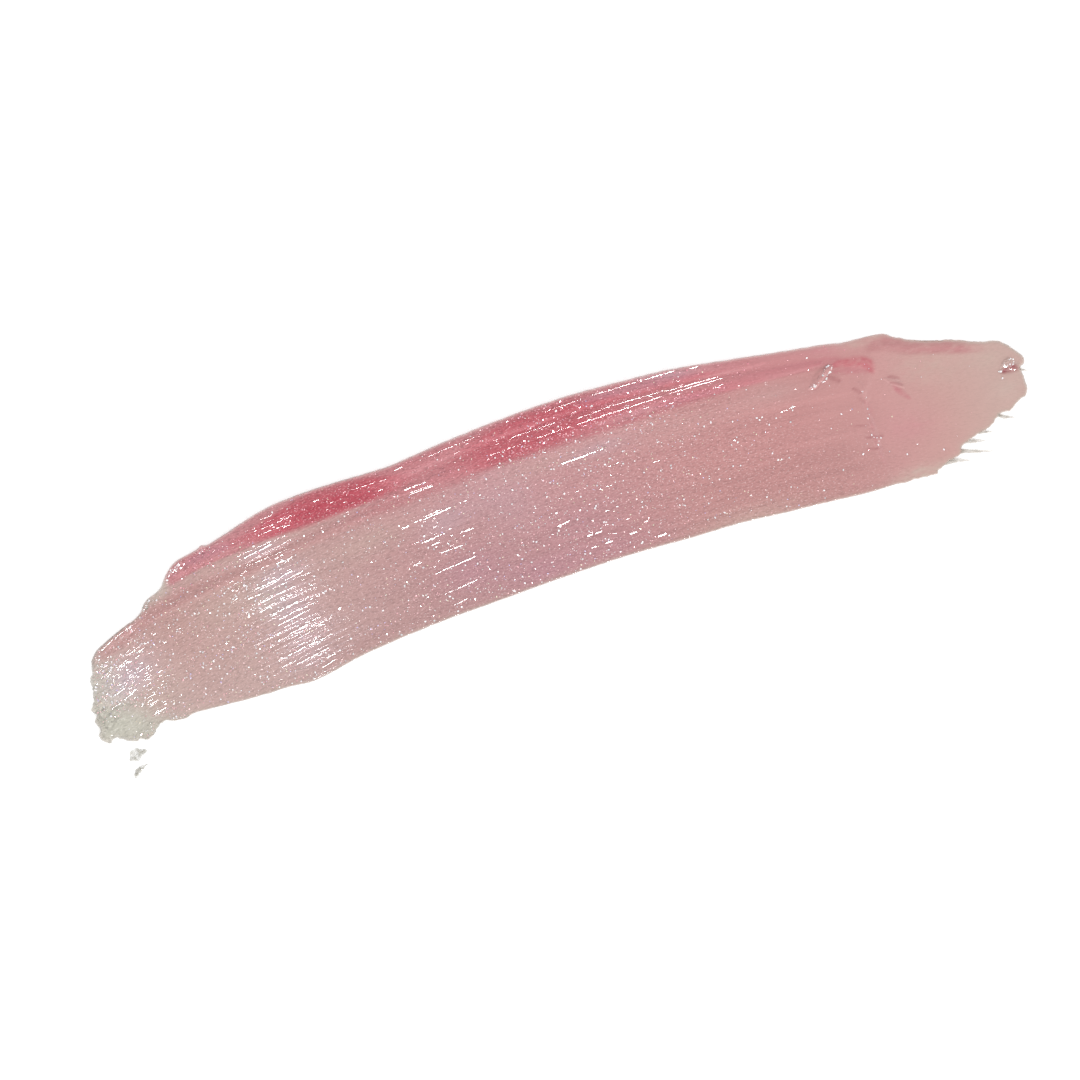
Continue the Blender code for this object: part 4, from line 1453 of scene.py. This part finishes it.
@dataclass
class Combing(Piece):
    """All the strands, as one piece."""

    strands: tuple = ()
    flank: float = 0.60  # the flanks' slope, steeper than any bead's
    sunk: float = 0.03  # how far a strand's foot lies under the surface
    beads: float = 0.16  # the length of its thicker and thinner stretches
    bends: float = 0.6  # the length of its sideways waves
    sway: float = 0.008  # and how far they reach
    thinnest: float = 0.05  # the share of its width that is left where it breaks
    taper: float = 16.0  # each end tapers over one part in so many of its length
    cells: tuple[int, int] = (56, 2)

    def build(self) -> None:
        """Makes the strands, all copied from one."""
        obj = blank_grid(*self.cells)
        blanks = copied(obj, len(self.strands))
        pairs = enumerate(zip(self.strands, blanks))
        strung = np.array([self.strung(number, strand, blank) for number, (strand, blank) in pairs])
        x, y, z = strung.transpose(2, 0, 1).reshape(3, -1)
        shape(obj, x, y, z, crease=12.0)
        self.hand_over(obj)

    def strung(self, number: int, strand: Strand, at: np.ndarray) -> np.ndarray:
        """Lays one strand over the smear.

        Args:
            number: its place in the list.
            strand: its run and size.
            at: the blank grid's vertices.

        Returns:
            The vertices in the stroke's mm.
        """
        u, v, under = parted(at)
        ends = np.array([(strand.x, strand.y, strand.half), (strand.to_x, strand.to_y, strand.half)])
        route = Route((ends[0], ends.mean(0), ends[1]))
        x, y = swept(route, u, v, 1.0)
        spine_x, spine_y = swept(route, u, v * 0.0, 1.0)
        place = u * math.hypot(strand.to_x - strand.x, strand.to_y - strand.y)
        wave = Ripple(200 + number, self.beads).at(place)
        wander = Ripple(400 + number, self.bends, height=self.sway).at(place)
        whole = np.clip(1.0 - strand.broken * np.clip(0.35 + wave, 0.0, 1.0) * 1.4, self.thinnest, 1.0)
        x, y = spine_x + (x - spine_x) * whole, spine_y + (y - spine_y) * whole
        tapered = np.sqrt(np.clip(np.minimum(u, 1.0 - u) * self.taper, 0.0, 1.0))
        tent = self.flank * (strand.half * whole * tapered - np.hypot(x - spine_x, y - spine_y))
        y, spine_y = y + wander, spine_y + wander
        beside = strand.half * np.array([-0.8, 0.0, 0.8])
        ground = np.max([RELIEF.surface(spine_x, spine_y + aside) for aside in beside], axis=0)
        top = ground + np.maximum(tent, 0.0) + SEAM_LIFT
        return np.stack([x, y, np.where(under, ground - self.sunk, top)], axis=1)


@dataclass(frozen=True)
class Crowd:
    """How many flakes lie on each square millimetre: s in mm against the count, for flakes of one size."""

    stops: tuple

    def at(self, s: np.ndarray) -> np.ndarray:
        """The count at each place along the stroke."""
        return np.interp(s, [place for place, _ in self.stops], [count for _, count in self.stops])


# Glitter thins out along the stroke, where the applicator had less left to give
CROWDING = Crowd((
    (-29.5, 15.0), (-28, 23.0), (-25.5, 16.0), (-23.5, 6.8), (-21, 7.2), (-18.5, 9.0), (-16.5, 5.6),
    (-14, 3.4), (-12, 4.6), (-9, 6.2), (-6, 5.2), (-2, 5.6), (2, 7.8), (6, 7.0), (9, 4.8), (12, 2.7),
    (16, 1.5), (19, 1.0), (21, 0.6), (23, 0.2), (29, 0.1),
))


@dataclass(frozen=True)
class Trail(Route):
    """Flakes gathered along a fold or a rim."""

    count: int

    def places(self, rng: np.random.Generator) -> Pair:
        """Chooses the flakes' places.

        Args:
            rng: the seeded source of chance.

        Returns:
            x and y of each flake.
        """
        line = even_line(self.line, 60)
        spots = line[rng.integers(0, len(line), self.count)]
        aside = rng.uniform(-1.0, 1.0, (2, self.count)) * spots[:, 2]
        return spots[:, 0] + aside[0], spots[:, 1] + aside[1]


TRAILS = (
    # The fold and its loose end
    Trail((
        (18.62, 2.22, 0.04), (18.88, 2.20, 0.04), (19.10, 2.34, 0.04), (19.22, 2.54, 0.04),
        (19.06, 2.66, 0.05), (18.84, 2.54, 0.04), (18.66, 2.36, 0.04),
    ), 26),
    Trail(((17.66, 1.80, 0.07), (17.90, 1.84, 0.08), (18.05, 1.68, 0.08)), 10),
    Trail(((18.20, 2.00, 0.08), (18.45, 1.88, 0.06), (18.75, 1.98, 0.06)), 8),
    Trail(((16.0, 1.00, 0.10), (16.4, 1.02, 0.04)), 6),
    # The ring round the spot at the end
    Trail((
        (29.04, -0.72, 0.05), (29.20, -0.54, 0.04), (29.50, -0.42, 0.04), (29.74, -0.54, 0.05),
        (29.66, -0.74, 0.04), (29.34, -0.80, 0.08), (29.10, -0.76, 0.05),
    ), 34),
    Trail(((28.72, -0.96, 0.06), (28.84, -0.92, 0.05)), 8),
    Trail(((28.70, -1.36, 0.04), (28.74, -1.40, 0.03)), 3),
    # The rims at the start
    Trail(((-22.56, 3.38, 0.05), (-22.10, 3.66, 0.07), (-21.62, 3.92, 0.05)), 46),
    Trail(((-24.9, 1.86, 0.12), (-24.5, 2.20, 0.16), (-24.1, 2.48, 0.10)), 30),
    Trail(((-20.34, 4.02, 0.03), (-20.20, 4.16, 0.03), (-20.04, 4.26, 0.03)), 9),
    Trail(((-19.75, 0.10, 0.06), (-19.55, 0.55, 0.06), (-19.10, 0.95, 0.08), (-18.10, 1.56, 0.07)), 18),
    # Crumbs of gloss along the lap
    Trail((
        (20.5, 0.60, 0.06), (20.65, 0.20, 0.08), (20.6, -0.4, 0.08), (20.2, -1.1, 0.12),
        (19.95, -1.9, 0.12),
    ), 8),
    Trail(((20.1, -2.1, 0.10), (20.8, -2.4, 0.12), (20.5, -2.7, 0.14)), 6),
)

# Pink glints gathered along the thick edge's borders
ROSE_TRAILS = (
    Trail((
        (-1.0, 3.72, 0.12), (2.0, 3.84, 0.14), (5.0, 3.86, 0.16), (8.0, 3.80, 0.16), (11.0, 3.62, 0.14),
        (13.0, 3.45, 0.12),
    ), 190),
    Trail((
        (-1.0, 5.70, 0.10), (3.0, 5.76, 0.12), (7.0, 5.54, 0.12), (10.0, 5.28, 0.12), (13.0, 4.80, 0.10),
    ), 80),
    Trail(((1.0, 4.72, 0.10), (5.0, 4.80, 0.14), (9.0, 4.66, 0.12)), 50),
)


@dataclass
class Glitter(Piece):
    """A scatter of six-sided flakes of one tint, lying at all angles in the top of the gloss."""

    share: float = 0.4
    sizes: tuple[float, float] = (0.03, 0.075)
    tilt: tuple[float, float] = (17.0, 38.0)
    seed: int = 5
    trails: tuple = ()
    on_thick: float = 1.0  # how much of the scatter the thick edge gets
    on_film: float = 1.0  # and the rest of the smear
    tries: int = 24000
    span: tuple[float, float] = (-29.5, 30.0)  # where along the arc flakes are tried
    breadth: tuple[float, float] = (-6.0, 6.0)  # and across it
    small: float = 2.2  # the higher, the more of the flakes are near the smaller size
    edge: float = 0.10  # how far from the smear's edge they keep
    sunk: float = 0.35  # how much of a leaning flake's rise stays above the gloss

    def scatter(self, rng: np.random.Generator) -> Pair:
        """Chooses the flakes' places in the plan.

        Args:
            rng: the seeded source of chance.

        Returns:
            x and y of each flake.
        """
        s = rng.uniform(*self.span, self.tries)
        t = rng.uniform(*self.breadth, self.tries)
        x, y = SWEEP.plan(s, t)
        area = np.ptp(self.span) * np.ptp(self.breadth)
        rows = 0.75 + Ripple(91, 4.0, 0.35, 0.5).at(s, t)
        bare = ((x + 27.5) / 1.45) ** 2 + ((y + 4.2) / 0.85) ** 2 < 1.0
        chance = CROWDING.at(s) * self.share * rows * area / self.tries * np.where(bare, 0.1, 1.0)
        thick = smoothstep(2.9, 3.3, t) * (s > -22.0)
        chance = chance * (self.on_film + (self.on_thick - self.on_film) * thick)
        kept = (rng.uniform(0.0, 1.0, self.tries) < chance) & inside_smear(x, y)
        found = [(x[kept], y[kept])] + [trail.places(rng) for trail in self.trails]
        return tuple(np.hstack(found))

    def build(self) -> None:
        """Makes the flakes, all copied from one."""
        rng = np.random.default_rng(self.seed)
        x, y = self.scatter(rng)
        kept = RELIEF.inset(x, y) > self.edge
        x, y = x[kept], y[kept]
        bpy.ops.object.select_all(action="DESELECT")
        bpy.ops.mesh.primitive_cylinder_add(vertices=6, radius=1.0, depth=0.16)
        obj = bpy.context.object
        corners = copied(obj, len(x))
        size = self.sizes[0] + np.ptp(self.sizes) * rng.uniform(0.0, 1.0, len(x)) ** self.small
        lean = np.radians(rng.uniform(*self.tilt, len(x)))
        facing = rng.uniform(0.0, 2 * np.pi, len(x))
        spin = rng.uniform(0.0, 2 * np.pi, len(x))
        corners = corners * size[:, None, None]
        corners[:, :, 1] *= rng.uniform(0.6, 1.0, len(x))[:, None]
        corners = turned(corners, spin, (0, 1))
        corners = turned(corners, lean, (2, 0))
        corners = turned(corners, facing, (0, 1))
        z = RELIEF.surface(x, y) + self.sunk * size * np.abs(np.sin(lean)) + THINNEST_FILM
        corners += np.stack([x + SHIFT_X, y + SHIFT_Y, z], axis=1)[:, None, :]
        obj.data.vertices.foreach_set("co", (corners * MM).astype(np.float32).ravel())
        obj.data.update()
        self.hand_over(obj)


def turned(points: np.ndarray, angle: np.ndarray, axes: tuple[int, int]) -> np.ndarray:
    """Turns each flake's corners by its own angle, from the first axis towards the second."""
    a, b = axes
    cos, sin = np.cos(angle)[:, None], np.sin(angle)[:, None]
    result = points.copy()
    result[:, :, a] = points[:, :, a] * cos - points[:, :, b] * sin
    result[:, :, b] = points[:, :, a] * sin + points[:, :, b] * cos
    return result


def inside_smear(x: np.ndarray, y: np.ndarray) -> np.ndarray:
    """Whether each point lies within the smear's edge."""
    lower = np.vstack([edge.line(0.1) for edge in (TIP_LOWER, SHEER_LOWER, TAIL_LOWER)])
    upper = np.vstack([edge.line(0.1) for edge in (TIP_UPPER, SHEER_UPPER, TAIL_UPPER)])
    low = np.interp(x, *lower[np.argsort(lower[:, 0])].T)
    high = np.interp(x, *upper[np.argsort(upper[:, 0])].T)
    return (y > low) & (y < high) & (x > -29.5) & (x < 30.0)


def offset_line(points: tuple, dx: float) -> np.ndarray:
    """A smooth seam moved along x, but true at both ends."""
    line = smooth_line(points, 12)
    shift = dx * np.sin(np.linspace(0.0, np.pi, len(line))) ** 0.35
    return line + np.column_stack([shift, shift * 0])


class Smear:
    """The whole object, made piece by piece."""

    def films(self) -> list[Film]:
        """The three films, end to end."""
        tip_lower, sheer_lower, tail_lower = (edge.line() for edge in (TIP_LOWER, SHEER_LOWER, TAIL_LOWER))
        tip_upper, sheer_upper, tail_upper = (edge.line() for edge in (TIP_UPPER, SHEER_UPPER, TAIL_UPPER))
        over_tip, under_tip = offset_line(TIP_SEAM, -0.15), offset_line(TIP_SEAM, 0.45)
        middle = int(len(under_tip) * 0.42)
        return [
            LappedFilm(
                "clear_tip", Finish.CLEAR, "clear_gloss", ("clear_tip",),
                lower=tip_lower, upper=np.vstack([tip_upper[-1:], under_tip[middle:][::-1][1:]]),
                start=tip_upper, end=under_tip[: middle + 1], cells=(90, 90),
            ),
            SheerFilm(
                "sheer_film", Finish.SHEER, "sheer_gloss", ("sheer_film",),
                lower=sheer_lower, upper=sheer_upper, start=over_tip, end=offset_line(LAP_SEAM, 0.15),
                cells=(380, 230),
            ),
            LappedFilm(
                "tail_film", Finish.TAIL, "tail_gloss", ("tail_film",),
                lower=tail_lower, upper=tail_upper, start=offset_line(LAP_SEAM, -0.30), end=TAIL_END.line(),
                cells=(150, 140),
            ),
        ]

    def deposits(self) -> list[Deposit]:
        """Everything that lies on the films."""
        rows = (
            ("outer_bead", Finish.DEEP, "deep_gloss", (620, 40)),
            ("inner_bead", Finish.DEEP, "deep_gloss", (520, 52)),
            ("rose_streak", Finish.SHEER, "streak_gloss", (240, 18)),
            ("start_rim", Finish.SHEER, "streak_gloss", (80, 20)),
            ("fold_ridge", Finish.DEEP, "streak_gloss", (60, 24)),
            ("pigment_pool", Finish.DEEP, "deep_gloss", (60, 30)),
            ("lap_ridge", Finish.SHEER, "streak_gloss", (100, 20)),
            ("drag_mark", Finish.TAIL, "streak_gloss", (40, 16)),
            ("tail_streak", Finish.TAIL, "streak_gloss", (90, 16)),
            ("pigment_spot", Finish.DEEP, "deep_gloss", (40, 24)),
            ("edge_nub", Finish.DEEP, "streak_gloss", (28, 18)),
        )
        return [Deposit(name, finish, slot, (name,), cells=cells) for name, finish, slot, cells in rows]

    def loose(self) -> list[Piece]:
        """The wisps and crumbs on the bare surface."""
        wisps = (
            ((23.30, -4.96, 0.22), (24.05, -5.06, 0.22), (24.75, -5.22, 0.15), (25.46, -5.48, 0.04)),
            ((24.80, -4.68, 0.18), (25.45, -4.88, 0.15), (26.20, -5.14, 0.11), (27.08, -5.41, 0.03)),
            ((27.80, -3.42, 0.10), (28.10, -3.60, 0.14), (28.40, -3.72, 0.10), (28.80, -3.88, 0.03)),
            ((26.40, -4.00, 0.12), (26.75, -4.10, 0.10), (27.24, -4.26, 0.03)),
            ((25.30, -4.22, 0.14), (25.95, -4.40, 0.16), (26.62, -4.60, 0.04)),
            ((29.85, -1.18, 0.10), (30.10, -1.30, 0.08), (30.34, -1.42, 0.03)),
        )
        crumbs = (
            ((-28.12, -6.30, 0.10), (-27.85, -6.15, 0.38), (-27.50, -6.10, 0.32), (-27.12, -6.08, 0.08)),
            ((-28.20, -7.40, 0.08), (-28.00, -7.16, 0.16), (-27.70, -6.96, 0.14), (-27.15, -6.86, 0.03)),
        )
        made: list[Piece] = [
            Sliver(f"wisp_{number}", Finish.TAIL, "tail_gloss", (f"wisp_{number}",), points=points)
            for number, points in enumerate(wisps, 1)
        ]
        made += [
            Crumb(
                f"crumb_{number}", Finish.CLEAR, "clear_gloss", (f"crumb_{number}",), points=points,
                seed=80 + 10 * number,
            )
            for number, points in enumerate(crumbs, 1)
        ]
        return made

    def froth(self) -> list[Piece]:
        """The bubbles, clump by clump along the rim."""
        clumps = (
            (-28.95, -2.95, 0.16, 17), (-29.00, -3.40, 0.14, 13), (-28.85, -4.00, 0.10, 10),
            (-29.2, -2.7, 0.10, 4), (-26.80, -5.36, 0.07, 6), (-28.3, -3.75, 0.18, 6),
            (-24.7, -4.82, 0.16, 6), (-24.1, -4.90, 0.16, 4), (-24.50, 2.15, 0.16, 12),
            (-24.2, 2.45, 0.12, 5), (-28.85, -1.4, 0.16, 4), (-26.3, -4.9, 0.2, 4),
        )
        return [Froth("froth", Finish.CLEAR, "clear_gloss", clumps=clumps)]

    def combing(self) -> list[Piece]:
        """The strands."""
        short = tuple(strand for crowd in DASHES for strand in crowd.strands())
        return [Combing("gloss_strands", Finish.STRAND, "clear_gloss", strands=STRANDS + short)]

    def glitter(self) -> list[Glitter]:
        """The flakes, one piece for each tint."""
        return [
            Glitter(
                "silver_glitter", Finish.SILVER, "clear_gloss", share=0.76, sizes=(0.026, 0.080), seed=11,
                trails=TRAILS, on_thick=0.25,
            ),
            Glitter(
                "rose_glitter", Finish.ROSE, "streak_gloss", share=1.35, sizes=(0.022, 0.055), seed=12,
                on_thick=0.45,
            ),
            Glitter(
                "pink_glitter", Finish.PINK, "deep_gloss", share=1.60, sizes=(0.022, 0.060), seed=15,
                trails=ROSE_TRAILS, on_film=0.0,
            ),
            Glitter(
                "lilac_glitter", Finish.LILAC, "sheer_gloss", share=0.17, sizes=(0.024, 0.060), seed=13,
                on_thick=0.4,
            ),
            Glitter(
                "gold_glitter", Finish.GOLD, "tail_gloss", share=0.22, sizes=(0.024, 0.060), seed=14,
                on_thick=0.4,
            ),
        ]

    def build(self) -> None:
        """Makes every piece in turn."""
        for group in (self.films, self.deposits, self.loose, self.froth, self.combing, self.glitter):
            for piece in group():
                piece.build()


@dataclass(frozen=True)
class StripLight:
    """A lamp hung so that one stretch of the stroke mirrors it to the camera.

    Lengths are in mm: x and y of the stretch's middle, its length along the stroke, the lamp's width and
    how far off it hangs. Lean is its angle from the vertical in degrees, and heading the way it leans, from
    the stroke's own direction.
    """

    x: float
    y: float
    length: float
    width: float
    radiance: float
    lean: float = 0.0
    heading: float = 90.0
    tint: Colour = (1.0, 1.0, 1.0)
    reach: float = 120.0

    def hang(self, name: str) -> None:
        """Makes the lamp.

        Args:
            name: its name.
        """
        lamp = bpy.data.lights.new(name, "AREA")
        lamp.shape = "RECTANGLE"
        lamp.size, lamp.size_y = self.length * MM, self.width * MM
        lamp.color = self.tint
        lamp.energy = self.radiance * math.pi * lamp.size * lamp.size_y
        obj = bpy.data.objects.new(name, lamp)
        lean, heading = math.radians(self.lean), math.radians(self.heading)
        aside = self.reach * math.sin(lean)
        obj.location = (
            (self.x + SHIFT_X + aside * math.cos(heading)) * MM,
            (self.y + SHIFT_Y + aside * math.sin(heading)) * MM,
            self.reach * math.cos(lean) * MM,
        )
        obj.rotation_euler = (-lean, 0.0, heading - math.pi / 2)
        obj.visible_camera = False
        bpy.context.scene.collection.objects.link(obj)


LAMPS = (
    # Overhead, for the wet crests
    StripLight(-16.4, -0.6, 3.2, 1.1, 50.0),
    StripLight(-16.2, -0.6, 4.2, 12.0, 2.0, tint=(0.82, 0.80, 1.0)),
    # Low on the thin side, for the strands
    StripLight(7.0, 0.0, 38.0, 6.5, 50.0, 62.0, -90.0),
    StripLight(-26.3, 0.9, 14.0, 6.5, 50.0, 62.0, -69.0),
)


@dataclass(frozen=True)
class Studio:
    """A white table in a bright room, seen from straight above."""

    view_width: float = 64.8
    view_x: float = -0.66
    view_y: float = -1.67
    roll: float = -18.7
    camera_height: float = 0.5
    room: float = 1.24  # how bright the room is round the sides
    ceiling: float = 0.42  # and straight above
    ceiling_span: tuple[float, float] = (0.62, 0.98)  # the upward share of a direction where it begins
    table: float = 0.92
    glow: float = 0.35  # the table's own light, which leaves no shadow round the smear

    def build(self) -> None:
        """Sets up the camera, table, room and lamps."""
        scene = bpy.context.scene
        scene.view_settings.view_transform = "Standard"
        camera = bpy.data.objects.new("camera", bpy.data.cameras.new("camera"))
        camera.data.type = "ORTHO"
        camera.data.ortho_scale = self.view_width * MM
        camera.location = ((self.view_x + SHIFT_X) * MM, (self.view_y + SHIFT_Y) * MM, self.camera_height)
        camera.rotation_euler.z = math.radians(self.roll)
        scene.collection.objects.link(camera)
        scene.camera = camera
        self.lay_table()
        self.light_room(scene)
        for number, lamp in enumerate(LAMPS, 1):
            lamp.hang(f"lamp_{number}")

    def lay_table(self) -> None:
        """Lays the plain white table under the smear."""
        bpy.ops.object.select_all(action="DESELECT")
        bpy.ops.mesh.primitive_plane_add(size=3.0, location=(0.0, 0.0, -0.02 * MM))
        table = bpy.context.object
        table.name = "table"
        tree = Tree("white table")
        tree.set(Roughness=0.9, Specular_IOR_Level=0.0, Emission_Strength=self.glow)
        tree.shader.inputs["Emission Color"].default_value = (1.0, 1.0, 1.0, 1.0)
        tree.shader.inputs["Base Color"].default_value = (self.table, self.table, self.table, 1.0)
        table.data.materials.append(tree.material)

    def light_room(self, scene: bpy.types.Scene) -> None:
        """Lights the room evenly from all round, with a darker ceiling for the gloss to mirror.

        Args:
            scene: the scene that takes the light.
        """
        world = bpy.data.worlds.new("room")
        world.use_nodes = True
        nodes, links = world.node_tree.nodes, world.node_tree.links
        split = nodes.new("ShaderNodeSeparateXYZ")
        links.new(nodes.new("ShaderNodeTexCoord").outputs["Generated"], split.inputs["Vector"])
        level = nodes.new("ShaderNodeMapRange")
        level.interpolation_type = "SMOOTHSTEP"
        level.inputs["From Min"].default_value, level.inputs["From Max"].default_value = self.ceiling_span
        level.inputs["To Min"].default_value = self.room
        level.inputs["To Max"].default_value = self.ceiling
        links.new(split.outputs["Z"], level.inputs["Value"])
        background = nodes["Background"]
        background.inputs["Color"].default_value = (1.0, 1.0, 1.0, 1.0)
        links.new(level.outputs["Result"], background.inputs["Strength"])
        scene.world = world


def main() -> None:
    """Builds the smear and the studio."""
    logging.basicConfig(level=logging.INFO, format="%(name)s: %(message)s")
    Smear().build()
    Studio().build()


if __name__ == "__main__":
    main()
